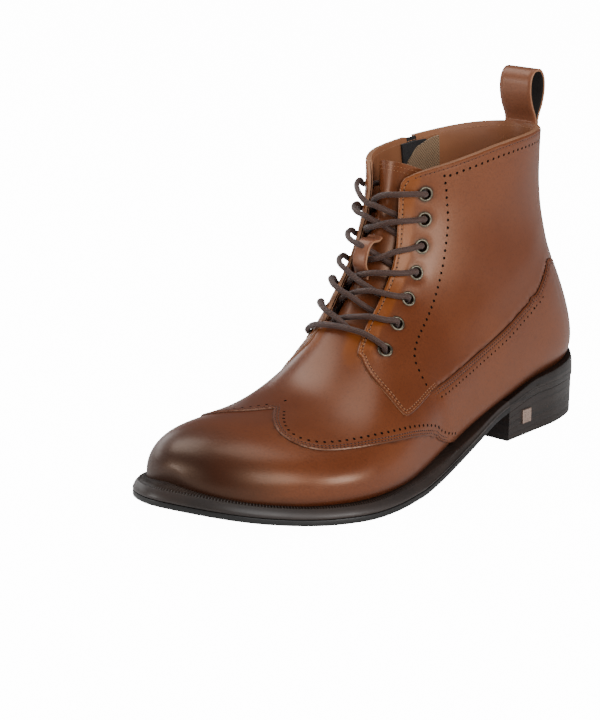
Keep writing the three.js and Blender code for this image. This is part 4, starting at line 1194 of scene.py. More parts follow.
# Laps and leather thicknesses where the counter lies over the quarters
UNDERLAP = 7.0
VAMP_THINNING = 0.3
COUNTER_LEATHER = 0.9
COUNTER_UNDERSIDE = 0.2
VAMP_TOP_SECTION = 10.6
THROAT = [
    (10.35, 24), (10.1, 34), (10.1, 46), (VAMP_TOP_SECTION, 60), (VAMP_TOP_SECTION, 90),
    (VAMP_TOP_SECTION, 120), (10.1, 134), (10.1, 146), (10.35, 156),
]
COUNTER_HOLES_END = 15.1


def vamp_outline():
    """Outline of the vamp: wing edge, feather lines, counter seams and the hidden throat."""
    heel_start = heel_feather_section()
    starts = wing_edge[[0, -1], 0] + CORNER_GAP
    outer_sections, inner_sections = np.linspace(starts, heel_start - CORNER_GAP, VAMP_SIDE_STEPS).T
    outer_side = feather_side(outer_sections)
    inner_side = feather_side(inner_sections, inner=True)
    back = np.linspace(heel_start, seam_line[-1, 0], BACK_STEPS)
    back_outer = np.stack([back, np.full(BACK_STEPS, -90.0)], -1)
    back_inner = np.stack([back, np.full(BACK_STEPS, 270.0)], -1)
    throat = curve_through([seam_behind[0], *THROAT, seam_behind_inner[0]], fineness=10)
    return np.concatenate([
        wing_edge, inner_side[1:], back_inner[1:], seam_behind_inner[::-1][1:-1],
        throat[::-1], seam_behind[1:], back_outer[::-1][1:], outer_side[::-1][:-1],
    ])


VAMP_OUTLINE = vamp_outline()


def make_vamp():
    """The vamp with its wing and the counter, which lies over the quarters."""
    dots = []
    for row in (WING_HOLES, WING_HOLES_INNER):
        dots += dots_along(line_on_last(row[1:]), HOLE_PITCH, skip=0.6)
    dots.append(circle_on_last(WING_HOLES[0], HOLE_RADIUS, HOLE_SIDES))
    for line, side in ((seam_behind, -1), (seam_behind_inner, 1)):
        holed = beside(line[line[:, 0] < COUNTER_HOLES_END], side * SEAM_HOLES_IN)
        dots += dots_along(holed, SEAM_HOLE_PITCH, radius=SEAM_HOLE_RADIUS, skip=5)
    extra = []
    for distance in ROW_PLACES:
        extra.append(beside_both(wing_outer_holes, wing_inner_holes, WING_MARGIN - distance))
        extra += [beside(seam_behind, -distance), beside(seam_behind_inner, distance)]
    cut = facing_out(cut_panel(VAMP_OUTLINE, extra, [], dots, PANEL_GRID))
    places = cut[0]
    base = last_point(places)
    to_wing = nearest(base, last_point(wing_edge))[0]
    to_seam, risen = seam_share(base)
    top = vamp_height(base) + edge_drop(to_wing, WING_ROWS) + edge_drop(to_seam, SEAM_ROWS) * risen
    bottom = np.full(len(places), -UPPER_WALL + VAMP_THINNING)
    bottom = np.where(to_seam < UNDERLAP, np.minimum(top - COUNTER_LEATHER, COUNTER_UNDERSIDE), bottom)
    finishes = (calf, dark_edge, hole_shade_and_dark_edge, flesh)
    return leather_panel("vamp", cut, top, bottom, finishes, last_point(wing_edge))


def zip_middle_along(z):
    """Where the zip's middle lies at a height."""
    share = (z - ZIP_BOTTOM_Z) / (HEEL_SEAT_Z + SHAFT_RISE - ZIP_BOTTOM_Z)
    return ZIP_BOTTOM_ALONG + (ZIP_TOP_ALONG - ZIP_BOTTOM_ALONG) * share


# Start and number of steps of the search for a place on the inner side
INNER_SIDE_START = (16.0, -182.0)
PLACING_STEPS = 30


def place_on_inner_side(along, z):
    """The (section, angle) place of a side view point on the inner side, by small steps."""
    place = np.array(INNER_SIDE_START)
    target = np.array([along, z])
    for _ in range(PLACING_STEPS):
        point = last_point(place)
        onward, around, _ = last_slopes(place)
        matrix = np.array([[onward[0], around[0]], [onward[2], around[2]]])
        place = place + np.clip(np.linalg.solve(matrix, target - point[[0, 2]]), -3, 3)
    return place


ZIP_SLOT_TOP_Z = HEEL_SEAT_Z + SHAFT_RISE + 6
ZIP_SLOT_STEPS = 60


def zip_slot():
    """Slot outline for the zip, open at the collar, with a round lower end."""
    half = ZIP_SLOT_WIDTH / 2
    corners = []
    for z in np.linspace(ZIP_SLOT_TOP_Z, ZIP_BOTTOM_Z + half, ZIP_SLOT_STEPS):
        corners.append((zip_middle_along(z) + half, z))
    bottom_along, bottom_z = zip_middle_along(ZIP_BOTTOM_Z), ZIP_BOTTOM_Z + half
    for turn in np.linspace(0, -math.pi, 12)[1:-1]:
        corners.append((bottom_along + half * math.cos(turn), bottom_z + half * math.sin(turn)))
    for z in np.linspace(ZIP_BOTTOM_Z + half, ZIP_SLOT_TOP_Z, ZIP_SLOT_STEPS):
        corners.append((zip_middle_along(z) - half, z))
    return np.array([place_on_inner_side(along, z) for along, z in corners])


def wrapped(line):
    """Inner side places with their angles counted on round the back, below zero."""
    line = np.array(line, float)
    return np.stack([line[:, 0], line[:, 1] - 360], -1)


SLOT = zip_slot()
BORE_CLEARANCE = 0.7
EYELET_CUTS = [
    circle_on_last(place, EYELET_BORE / 2 + BORE_CLEARANCE, 16)
    for place in [*EYELETS, *wrapped(mirrored(EYELETS))]
]
LINING_DEPTH = 0.95
LINING_START = 10.7
LINING_GAP = 0.05
TAB_LEATHER = 1.1
LEAST_LEATHER = 0.5


def quarter_outline(lower_outer, lower_inner):
    """Outline of the leg: lower edge, both facings and the collar."""
    facing_front = line_on_last([*TAB_EDGE[1:], *FACING_EDGE])
    facing_back = wrapped(line_on_last(mirrored([*TAB_EDGE[1:], *FACING_EDGE])))
    return np.concatenate([lower_outer[::-1], facing_front, collar_edge, facing_back[::-1], lower_inner])


def make_quarters():
    """The leg in one panel: both facings with their tabs, the collar and the back."""
    tab = seam_line[seam_line[:, 0] <= BARTACK_SECTION]
    tab_inner = wrapped(seam_inner[seam_inner[:, 0] <= BARTACK_SECTION])
    lap = beside(seam_behind, -UNDERLAP)
    lap_inner = wrapped(beside(seam_behind_inner, UNDERLAP))
    lower_outer = np.concatenate([tab, lap[3:]])
    lower_inner = np.concatenate([tab_inner, lap_inner[3:]])
    outline = quarter_outline(lower_outer, lower_inner)
    dots = dots_along(line_on_last(FACING_HOLES), FACING_HOLE_PITCH)
    dots += [wrapped(dot) for dot in dots_along(line_on_last(mirrored(FACING_HOLES)), FACING_HOLE_PITCH)]
    collar_row = beside(collar_edge, -COLLAR_HOLES_IN)
    for start, end in COLLAR_HOLE_SPANS:
        part = collar_row[(collar_row[:, 1] < start) & (collar_row[:, 1] > end)]
        dots += dots_along(part, HOLE_PITCH)
    extra = []
    for distance in QUARTER_ROW_PLACES:
        extra += [beside(facing_only, -distance), wrapped(beside(facing_only_inner, distance))]
        extra += [beside(tab_line, -distance), wrapped(beside(tab_line_inner, distance))]
        extra.append(beside(collar_edge, -distance))
    for distance in (0.0, 0.35):
        extra += [beside(seam_behind, -distance), wrapped(beside(seam_behind_inner, distance))]
    cut = facing_out(cut_panel(outline, extra, [SLOT, *EYELET_CUTS], dots, PANEL_GRID))
    places = cut[0]
    base = last_point(places)
    to_edge = nearest(base, quarter_edge_points)[0]
    slot_points = last_point(SLOT)
    to_slot = nearest(base, slot_points)[0]
    top = quarter_height(base) + facing_swell(base) + edge_drop(to_edge, FACING_ROWS)
    top += edge_drop(to_slot, ())
    unwrapped = np.where(places[:, 1:] < -90, places + (0, 360), places)
    over_vamp = inside(leg_layout(unwrapped), leg_layout(VAMP_OUTLINE))
    behind_tab = over_vamp & (seam_share(base)[0] < UNDERLAP + 2) & (places[:, 0] > BARTACK_SECTION - 0.1)
    on_tab = over_vamp & ~behind_tab
    top = np.where(behind_tab, vamp_height(base) - TAB_LEATHER, top)
    bottom = np.where(on_tab, 0.0, -LINING_DEPTH)
    bottom = np.minimum(bottom, top - LEAST_LEATHER)
    edges = np.concatenate([quarter_edge_points, slot_points])
    return leather_panel("quarters", cut, top, bottom, LEATHER_SET, edges)


def make_lining():
    """The tan lining of the leg, under the quarters."""
    heel_start = heel_feather_section()
    sections = np.linspace(LINING_START, heel_start - CORNER_GAP, LINING_SIDE_STEPS)
    outer_side = feather_side(sections)
    inner_side = wrapped(feather_side(sections, inner=True))
    outline = quarter_outline(outer_side[:-1], inner_side[:-1])
    cut = facing_out(cut_panel(outline, [], [SLOT, *EYELET_CUTS], [], LINING_GRID))
    count = len(cut[0])
    base = last_point(cut[0])
    to_edge = nearest(base, quarter_edge_points)[0]
    top = -LINING_DEPTH - LINING_GAP + facing_swell(base) * 0.9
    bottom = np.full(count, -UPPER_WALL) + 0.5 * faded(0, 1.2, to_edge)
    finishes = (lining, cut_edge, hole_shade_and_dark_edge, lining)
    return leather_panel("leg_lining", cut, top, bottom, finishes, quarter_edge_points)


def zip_collar_z():
    """Height of the collar where the zip ends."""
    rise = smooth_value(COLLAR_LINE, "along", "medial", ZIP_TOP_ALONG / SOLE_LENGTH)
    return HEEL_SEAT_Z + rise * SHAFT_RISE


# Zip teeth and the tapes' upper ends, offset from the last's surface
TOOTH_PITCH = 2.1
TOOTH_REACH = 1.9
TOOTH_HALF_DEPTH = 0.7
TEETH_OFFSET = -1.3
TEETH_START = 5
TEETH_END = 1.5
TAPE_END_HEIGHT = 22
TAPE_END_OFFSETS = (-1.0, -1.7)
TAPE_END_REACHES = (0.3, 2.0, 4.4)


def make_zip_teeth():
    """Metal teeth that mesh down the middle of the slot, alternately from each tape."""
    top = zip_collar_z()
    points, faces = [], []
    for index, z in enumerate(np.arange(ZIP_BOTTOM_Z + TEETH_START, top - TEETH_END, TOOTH_PITCH / 2)):
        place = place_on_inner_side(zip_middle_along(z), z)
        centre = over_last(place, TEETH_OFFSET)
        onward, around, normal = last_slopes(place)
        up = onward / np.linalg.norm(onward)
        out = np.cross(normal, up) * (1 if index % 2 else -1)
        start = len(points)
        for lift in (-TOOTH_HALF_DEPTH, TOOTH_HALF_DEPTH):
            for rise, reach in ((-0.5, -0.5), (0.5, -0.5), (0.42, TOOTH_REACH), (-0.42, TOOTH_REACH)):
                points.append(centre + normal * lift + up * rise + out * reach)
        block = [(0, 1, 2, 3), (7, 6, 5, 4), (0, 4, 5, 1), (1, 5, 6, 2), (2, 6, 7, 3), (3, 7, 4, 0)]
        if index % 2 == 0:
            block = [tuple(reversed(face)) for face in block]
        faces += [tuple(start + corner for corner in face) for face in block]
    return add_object("zip_teeth", points, faces, [steel], sharp=30)


def make_tape_top():
    """Upper ends of the two tapes, up to the collar on each side of the teeth."""
    top = zip_collar_z()
    rows = np.linspace(top - TAPE_END_HEIGHT, top - 0.4, 12)
    points, faces = [], []
    for side in (-1, 1):
        start = sum(len(block) for block in points)
        for offset in TAPE_END_OFFSETS:
            block = []
            for z in rows:
                for reach in TAPE_END_REACHES:
                    place = place_on_inner_side(zip_middle_along(z) + side * reach, z)
                    block.append(over_last(place, offset))
            points.append(np.array(block))
        front = grid_faces(len(rows), 3)
        count = len(rows) * 3
        if side > 0:
            front = [tuple(reversed(face)) for face in front]
        faces += [tuple(start + v for v in face) for face in front]
        faces += [tuple(start + count + v for v in reversed(face)) for face in front]
        steps = range(len(rows))
        border = [3 * i for i in steps] + [count - 2] + [3 * i + 2 for i in reversed(steps)] + [1]
        for a, b in zip(border, border[1:] + border[:1]):
            faces.append((start + a, start + b, start + count + b, start + count + a))
    return add_object("zip_tape_ends", np.concatenate(points), faces, [tape], sharp=40)


def grid_faces(rows, columns, closed_columns=False):
    """Faces between rows of points, listed row by row."""
    faces = []
    for i in range(rows - 1):
        for j in range(columns if closed_columns else columns - 1):
            k = (j + 1) % columns
            faces.append((i * columns + j, i * columns + k, (i + 1) * columns + k, (i + 1) * columns + j))
    return faces


def tube(points, radius, sides=12):
    """Round cord along dense points: points and faces, with its ends closed."""
    points = np.asarray(points, float)
    run = np.gradient(points, axis=0)
    run /= np.linalg.norm(run, axis=1)[:, None]
    side = np.cross(run[0], (0.3, 0.2, 1.0))
    side /= np.linalg.norm(side)
    rings = []
    turn = 2 * np.pi * np.arange(sides)[:, None] / sides
    for point, direction in zip(points, run):
        side = side - direction * side.dot(direction)
        side /= np.linalg.norm(side)
        other = np.cross(direction, side)
        rings.append(point + radius * (np.cos(turn) * side + np.sin(turn) * other))
    faces = grid_faces(len(points), sides, closed_columns=True)
    faces.append(tuple(reversed(range(sides))))
    last = (len(points) - 1) * sides
    faces.append(tuple(last + j for j in range(sides)))
    return np.concatenate(rings), faces


# Tongue
TONGUE_FOOT = 9.4
TONGUE_TOP = 18.55
TONGUE_DEEP = UPPER_WALL + LACE_DIAMETER + 0.9
TONGUE_THICKNESS = 2.6
TONGUE_TURN = 38
TONGUE_CROWN = 1.2
TONGUE_ROWS = (0.3, 0.62)
TONGUE_ROW_TURN = 34


def tongue_offset(section):
    """How deep the tongue's front lies under the last's surface."""
    deeper = smoothstep(TONGUE_FOOT + 0.2, TONGUE_FOOT + 0.9, section)
    return -(UPPER_WALL + GAP + (TONGUE_DEEP - UPPER_WALL - GAP) * deeper)


def make_tongue():
    """Padded tongue under the lace: calf in front, tan lining behind, a cut edge all round."""
    rows, columns = 120, 70
    sections = np.linspace(TONGUE_FOOT, TONGUE_TOP, rows)
    spread = np.linspace(-1, 1, columns)
    points = []
    for face in (0, 1):
        for section in sections:
            end = smoothstep(TONGUE_TOP - 0.35, TONGUE_TOP, section)
            angles = 90 + spread * (TONGUE_TURN - 5 * end)
            lines = np.stack([np.full(columns, section) - 0.25 * end * spread**2, angles], -1)
            rim = 1 - np.clip(np.abs(spread), 0.86, 1) ** 2
            thin = min((TONGUE_TOP - section) / 0.12, 1)
            round_rim = 0.35 + 0.65 * np.sqrt(np.clip(rim / 0.26, 0, 1))
            thick = TONGUE_THICKNESS * round_rim * (0.5 + 0.5 * thin)
            pad = 0.35 * np.cos(spread * TONGUE_CROWN) * smoothstep(TONGUE_FOOT + 1, TONGUE_FOOT + 3, section)
            points.append(over_last(lines, tongue_offset(section) + pad - (thick if face else 0)))
    front = grid_faces(rows, columns)
    under = rows * columns
    faces = [*[tuple(reversed(f)) for f in front], *[tuple(v + under for v in f) for f in front]]
    border = [i * columns for i in range(rows)] + [(rows - 1) * columns + j for j in range(1, columns)]
    border += [i * columns + columns - 1 for i in range(rows - 2, -1, -1)]
    border += list(range(columns - 2, 0, -1))
    kinds = [0] * len(front) + [2] * len(front)
    for a, b in zip(border, border[1:] + border[:1]):
        faces.append((a, b, b + under, a + under))
        kinds.append(1)
    finishes = [calf_tongue, cut_edge, lining]
    return add_object("tongue", np.concatenate(points), faces, finishes, kinds, sharp=50)


# Lace
LACE_RADIUS = LACE_DIAMETER / 2
EYELET_RISE = 0.7
LACE_OVER = QUARTER_LIFT + EYELET_RISE + LACE_RADIUS + 0.1
LACE_UNDER = -UPPER_WALL - LACE_RADIUS - 0.4


# Each run leaves its eyelet, crosses the throat and dives under the other facing: places with their offsets
LACE_RUNS = [
    [(10.52, 60, 3.0), (10.53, 69, 3.0), (10.49, 78, 2.6)],
    [],
    [(11.23, 60, 2.9), (11.12, 68, 2.6), (11.03, 74, 1.2),
     (10.93, 82, -0.8), (10.85, 90, -2.4), (10.8, 105, -3.9)],
    [(11.40, 120, 4.2), (11.2, 113, 5.3), (10.89, 101, 4.5), (10.72, 89, 1.6), (10.59, 82, 0.0),
     (10.54, 78, -0.9), (10.53, 71, -3.3)],
    [(12.13, 59, 2.9), (12.01, 66, 2.6), (11.94, 74, 1.4),
     (11.82, 82, -0.2), (11.69, 92, -2.4), (11.64, 112, -3.9)],
    [(12.3, 120, 4.2), (12.1, 113, 5.3), (11.72, 100, 4.5), (11.6, 93, 2.5), (11.54, 87, 0.9),
     (11.46, 79, -1.2), (11.46, 71, -3.6)],
    [(13.06, 60, 2.9), (12.81, 67, 2.6), (12.59, 77, 1.0),
     (12.45, 85, -0.6), (12.33, 95, -2.2), (12.29, 112, -3.9)],
    [(13.25, 119, 4.2), (12.96, 113, 5.3), (12.6, 104, 5.0), (12.43, 98, 3.5), (12.23, 90, 1.0),
     (12.11, 83, 0.2), (12.06, 76, -1.0), (12.08, 68, -3.6)],
    [(14.09, 62, 2.9), (13.72, 69, 2.6), (13.41, 74, 1.0),
     (13.19, 80, -1.0), (13.03, 96, -3.0), (13.08, 112, -3.9)],
    [(14.42, 119, 4.2), (14.13, 112, 5.5), (13.71, 101, 5.0), (13.5, 91, 3.0), (13.42, 86, 0.2),
     (13.35, 78, -2.7), (13.29, 68, -3.9)],
    [(15.4, 62, 2.9), (15.08, 71, 2.7), (14.78, 80, 1.5),
     (14.55, 88, 0.0), (14.46, 102, -1.8), (14.46, 112, -3.9)],
    [(15.75, 119, 4.2), (15.53, 114, 5.5), (15.12, 103, 5.0), (14.91, 94, 3.0), (14.78, 89, 0.5),
     (14.7, 83, -1.8), (14.57, 72, -3.9)],
    [(16.88, 60, 2.9), (16.61, 71, 2.7), (16.32, 85, 1.0), (16.02, 97, -1.5), (15.9, 112, -3.9)],
    [(17.2, 127, 4.2), (16.9, 120, 5.5), (16.07, 102, 5.0), (15.69, 96, 3.5), (15.6, 90, 2.0),
     (15.49, 83, 0.3), (15.4, 75, -2.5), (15.39, 70, -3.9)],
]
LACE_BAR = [(10.46, 86, 2.6), (10.42, 97, 2.8), (10.45, 108, 3.0), (10.5, 118, 3.0)]


def lace_half(medial):
    """Way of half the lace from inside a top eyelet down to its lowest eyelet."""
    def at(section, angle, offset):
        return over_last(np.array([section, angle]), offset)
    points = []
    for index in range(len(EYELETS) - 1, -1, -1):
        section, angle = EYELETS[index]
        if medial:
            angle = 180 - angle
        toward = -1 if medial else 1
        points += [
            at(section + 0.1, angle - toward * 4, LACE_UNDER),
            at(section + 0.02, angle - toward * 0.5, LACE_UNDER + 1.6),
            at(section, angle, 0.0),
            at(section - 0.01, angle + toward * 1.2, LACE_OVER - EYELET_RISE),
        ]
        points += [at(*place) for place in LACE_RUNS[2 * index + medial]]
        medial = not medial
    return points


def make_lace():
    """One lace: a half from each top eyelet, joined by the bar at the bottom."""
    bar = [over_last(np.array([section, angle]), offset) for section, angle, offset in LACE_BAR]
    whole = np.array([*lace_half(False), *bar, *lace_half(True)[::-1]])
    dense = curve_through(whole, fineness=7)
    run = lengths_along(dense)[-1]
    even = spaced(dense, np.linspace(0, run, int(run / 0.75)))
    points, faces = tube(even, LACE_RADIUS, sides=14)
    return add_object("lace", points, faces, [cord], sharp=80)


def turned_profile(place, rings, base_offset, sides=28):
    """Round piece about the leather's normal at a place: rings of (radius, height)."""
    centre = over_last(np.array(place, float), base_offset)
    onward, _, normal = last_slopes(np.array(place, float))
    first = onward / np.linalg.norm(onward)
    second = np.cross(normal, first)
    points = []
    for radius, height in rings:
        turn = 2 * np.pi * np.arange(sides)[:, None] / sides
        points.append(centre + normal * height + radius * (np.cos(turn) * first + np.sin(turn) * second))
    count = len(rings)
    faces = []
    for i in range(count):
        for j in range(sides):
            k = (j + 1) % sides
            following = (i + 1) % count
            faces.append((i * sides + j, i * sides + k, following * sides + k, following * sides + j))
    return np.concatenate(points), faces


def make_eyelets():
    """Brass rings, each with its barrel, in both facings."""
    outer, bore, barrel = EYELET_FLANGE / 2 - 0.15, EYELET_BORE / 2 + 0.3, EYELET_BORE / 2 + 0.6
    rings = [
        (barrel, -3.0), (barrel, -0.1), (outer - 0.25, -0.1), (outer, 0.05), (outer - 0.15, 0.32),
        (outer - 0.55, 0.5), (bore + 0.4, 0.46), (bore + 0.12, 0.3), (bore, 0.05), (bore, -3.0),
    ]
    made = []
    for side, line in (("lateral", EYELETS), ("medial", mirrored(EYELETS))):
        for index, place in enumerate(line):
            base = last_point(np.array([place]))
            height = float(quarter_height(base)[0] + facing_swell(base)[0])
            points, faces = turned_profile(place, rings, height)
            ring = add_object(f"ring_{side}_{index + 1}", points, faces, [brass], sharp=60)
            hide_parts(f"eyelet_{side}_{index + 1}")
            made.append(ring)
    return made


# Straps that follow a side view line
def strap(name, line, thickness, width, materials, bulge=0.0):
    """Leather strap in the boot's middle along [along, z] points, grain side left of its direction."""
    line = np.asarray(line, float)
    run = np.gradient(line, axis=0)
    run /= np.linalg.norm(run, axis=1)[:, None]
    normal = np.stack([-run[:, 1], run[:, 0]], -1)
    half = width / 2
    round_edge = 0.3
    section = [
        (-half + round_edge, 1), (half - round_edge, 1), (half, 0.55), (half, -0.55),
        (half - round_edge, -1), (-half + round_edge, -1), (-half, -0.55), (-half, 0.55),
    ]
    columns = []
    for (across, side), (next_across, next_side) in zip(section, section[1:] + section[:1]):
        steps = 8 if abs(next_across - across) > 2 else 1
        for k in range(steps):
            share = k / steps
            columns.append((across + (next_across - across) * share, side + (next_side - side) * share))
    points = []
    for (along, z), out in zip(line, normal):
        for across, side in columns:
            crown = bulge * (1 - (across / half) ** 2)
            lift = side * thickness / 2 + crown
            points.append((along + out[0] * lift, across, z + out[1] * lift))
    count = len(columns)
    faces = grid_faces(len(line), count, closed_columns=True)
    kinds = []
    for _ in range(len(line) - 1):
        for _, side in columns:
            kinds.append(0 if side > 0.9 else 1 if side > -0.9 else 2)
    faces.append(tuple(reversed(range(count))))
    faces.append(tuple((len(line) - 1) * count + j for j in range(count)))
    kinds += [1, 1]
    return add_object(name, points, faces, materials, kinds, sharp=50)


def ridge_place(section, offset):
    """Along and height of a place over the ridge of the last."""
    point = over_last(np.array([section, 90.0]), offset)
    return (point[0], point[2])


KEEPER_WIDTH = 8.6
KEEPER_LIFT = 0.35
KEEPER_THICKNESS = 1.5
KEEPER_RISE = 7.0
# Where the keeper runs: sections of the last and shares of its rise
KEEPER_SHAPE = [
    (12.35, 0.0), (12.52, 0.1), (12.8, 0.75), (13.3, 1.0), (13.75, 0.85), (14.0, 0.15), (14.15, 0.0),
]


def make_keeper():
    """Strap on the tongue that arches over the lace."""
    foot = GAP + KEEPER_LIFT + KEEPER_THICKNESS / 2
    line = [
        ridge_place(section, float(tongue_offset(section)) + foot + rise * KEEPER_RISE)
        for section, rise in KEEPER_SHAPE
    ]
    smooth = curve_through(line[::-1], fineness=8)
    finishes = [calf_strap_painted_highlight, cut_edge, flesh]
    return strap("keeper", smooth, KEEPER_THICKNESS, KEEPER_WIDTH, finishes, bulge=0.25)


LOOP_WIDTH = 20.0
LOOP_THICKNESS = 1.5
LOOP_DEPTH = 12.0
LOOP_RISE = 28.0
LOOP_STEM = 5.0
LOOP_OFFSET = -0.45
LOOP_SECTION = 19.9
# The loop's side: shares of its depth and of its rise
LOOP_SHAPE = [(0.06, 0.04), (0.12, 0.14), (0.36, 0.36), (0.50, 0.62), (0.44, 0.86), (0.22, 0.98)]


def make_pull_loop():
    """Strap folded into a loop, its two ends sewn down inside the back of the collar."""
    stem_along = over_last(np.array([LOOP_SECTION, 270.0]), LOOP_OFFSET)[0]
    collar = HEEL_SEAT_Z + COLLAR_LINE["lateral"][0] * SHAFT_RISE

    def side(sign):
        return [
            (stem_along + sign * depth * LOOP_DEPTH, collar + rise * LOOP_RISE) for depth, rise in LOOP_SHAPE
        ]

    def stem(sign):
        rows = []
        for z in np.linspace(collar - LOOP_STEM, collar + 0.5, 4):
            section = float(section_where(np.array([270.0]), *COLLAR_SEARCH, lambda point: z)[0])
            point = over_last(np.array([section, 270.0]), LOOP_OFFSET - sign * LOOP_THICKNESS * 0.52)
            rows.append((point[0], z))
        return rows
    arch = [*stem(1), *side(1), (stem_along, collar + LOOP_RISE), *side(-1)[::-1], *stem(-1)[::-1]]
    smooth = curve_through(arch, fineness=8)
    finishes = [calf_strap_painted_highlight, cut_edge, grey_suede]
    return strap("pull_loop_strap", smooth[::-1], LOOP_THICKNESS, LOOP_WIDTH, finishes)


# Sole
SOLE_POINTS = 1800


def sole_rings(rings, closed_strip, count=SOLE_POINTS):
    """Body of rings round the sole edge; each ring gives insets and heights at the edge points."""
    edge, inward = sole_edge(count)
    points = []
    for inset, height in rings:
        at = edge + inward * np.broadcast_to(inset(edge[:, 0]), (count,))[:, None]
        points.append(np.concatenate([at, np.broadcast_to(height(edge[:, 0]), (count,))[:, None]], 1))
    levels = len(rings)
    faces = grid_faces(levels, count, closed_columns=True)
    if closed_strip:
        top = (levels - 1) * count
        for j in range(count):
            k = (j + 1) % count
            faces.append((top + j, top + k, k, j))
    return np.concatenate(points), faces


def only_along(points, faces, low, high):
    """Faces whose points lie in a range along the shoe, with the points that they use."""
    index = np.array(faces)
    along = points[index][:, :, 0]
    kept = index[(along.min(1) > low) & (along.max(1) < high)]
    used, renumbered = np.unique(kept, return_inverse=True)
    return points[used], renumbered.reshape(kept.shape)


def lip_at(along):
    """How far the welt reaches out from the upper."""
    forward = smoothstep(0.3 * SOLE_LENGTH, 0.62 * SOLE_LENGTH, along)
    return HEEL_TAPER + (WELT_LIP - HEEL_TAPER) * forward


def fore_share(along):
    """Nothing at the heel and all ahead of it, for grooves that end at the heel."""
    return smoothstep(BREAST_ALONG - 5, BREAST_ALONG + 30, along)


# Notches in the welt's upper edge, from the waist forward
NOTCHES_START = 0.42
NOTCHES_FULL = 0.5
NOTCH_DEPTH = 0.75


def welt_rings():
    """Outline of the welt from its underside over its notched edge, ring by ring."""
    edge, _ = sole_edge(SOLE_POINTS)
    index = np.arange(SOLE_POINTS)
    notch = np.where(index % 4 < 2, 0.0, 1.0)
    fore = smoothstep(NOTCHES_START * SOLE_LENGTH, NOTCHES_FULL * SOLE_LENGTH, edge[:, 0])
    cut = NOTCH_DEPTH * notch * fore

    def bottom(along):
        return outsole_top_z(along) + 0.05

    return [
        (lambda a: np.full(len(a), WELT_REACH), lambda a: bottom(a)),
        (lambda a: 0.9 * fore_share(a), lambda a: bottom(a)),
        (lambda a: 0.35 * fore_share(a), lambda a: bottom(a) + 0.12),
        (lambda a: 0.05 * fore_share(a), lambda a: bottom(a) + 0.55),
        (lambda a: 0.02 * fore_share(a), lambda a: bottom(a) + 1.0),
        (lambda a: 0.12 * lip_at(a), lambda a: seat_z(a) - 0.62 * WELT_HEIGHT),
        (lambda a: 0.35 * lip_at(a), lambda a: seat_z(a) - 0.35 * WELT_HEIGHT),
        (lambda a: 0.66 * lip_at(a), lambda a: seat_z(a) - 0.14 * WELT_HEIGHT),
        (lambda a: 0.72 * lip_at(a), lambda a: seat_z(a) - 0.10 * WELT_HEIGHT - cut * 0.6),
        (lambda a: 0.86 * lip_at(a), lambda a: seat_z(a) - 0.02 * WELT_HEIGHT - cut),
        (lambda a: 1.05 * lip_at(a), lambda a: seat_z(a) - cut),
        (lambda a: 1.30 * lip_at(a) + 0.3, lambda a: seat_z(a) - cut * 0.5 - 0.2),
        (lambda a: np.full(len(a), WELT_REACH - 0.3), lambda a: seat_z(a) - 0.3),
    ]


def make_welt():
    """The welt ahead of the heel and the heel rand behind it."""
    points, faces = sole_rings(welt_rings(), True)
    fore_points, fore_faces = only_along(points, faces, BREAST_ALONG + 0.1, SOLE_LENGTH + 9)
    rear_points, rear_faces = only_along(points, faces, -9, BREAST_ALONG + 0.4)
    welt = add_object("welt_strip", fore_points, fore_faces, [welt_edge], sharp=40)
    rand = add_object("heel_rand_strip", rear_points, rear_faces, [heel_edge], sharp=40)
    return welt, rand


def cap_faces(total, count):
    """Faces that close the first and last ring of a body round the sole, point to point across it."""
    top = total - count
    half = count // 2
    faces = []
    for left in range(1, half):
        right = count - left
        if left == half - 1:
            faces.append((left, right, half))
            faces.append((top + left, top + half, top + right))
        else:
            faces.append((left, right, right - 1, left + 1))
            faces.append((top + left, top + left + 1, top + right - 1, top + right))
    faces.append((0, count - 1, 1))
    faces.append((top, top + 1, top + count - 1))
    return faces


OUTLINE_FINE = 900


def make_outsole():
    """Outsole with its groove under the welt; at the heel it has the heel's finish."""
    rings = [
        (lambda a: np.full(len(a), 1.1), lambda a: underside_z(a)),
        (lambda a: np.full(len(a), 0.4), lambda a: underside_z(a) + 0.12),
        (lambda a: np.full(len(a), 0.1), lambda a: underside_z(a) + 0.5),
        (lambda a: np.full(len(a), 0.0), lambda a: underside_z(a) + 1.1),
        (lambda a: np.full(len(a), 0.0), lambda a: outsole_top_z(a) - 0.6),
        (lambda a: 0.15 * fore_share(a), lambda a: outsole_top_z(a) - 0.22),
        (lambda a: 0.55 * fore_share(a), lambda a: outsole_top_z(a) - 0.05),
        (lambda a: np.full(len(a), WELT_REACH), lambda a: outsole_top_z(a)),
        (lambda a: np.full(len(a), WELT_REACH), lambda a: seat_z(a)),
    ]
    points, faces = sole_rings(rings, False, OUTLINE_FINE)
    faces += cap_faces(len(points), OUTLINE_FINE)
    at_heel = [max(points[v][0] for v in face) < BREAST_ALONG for face in faces]
    return add_object("outsole_plate", points, faces, [rubber, heel_edge], np.array(at_heel, int), sharp=40)


LIFTS = 5


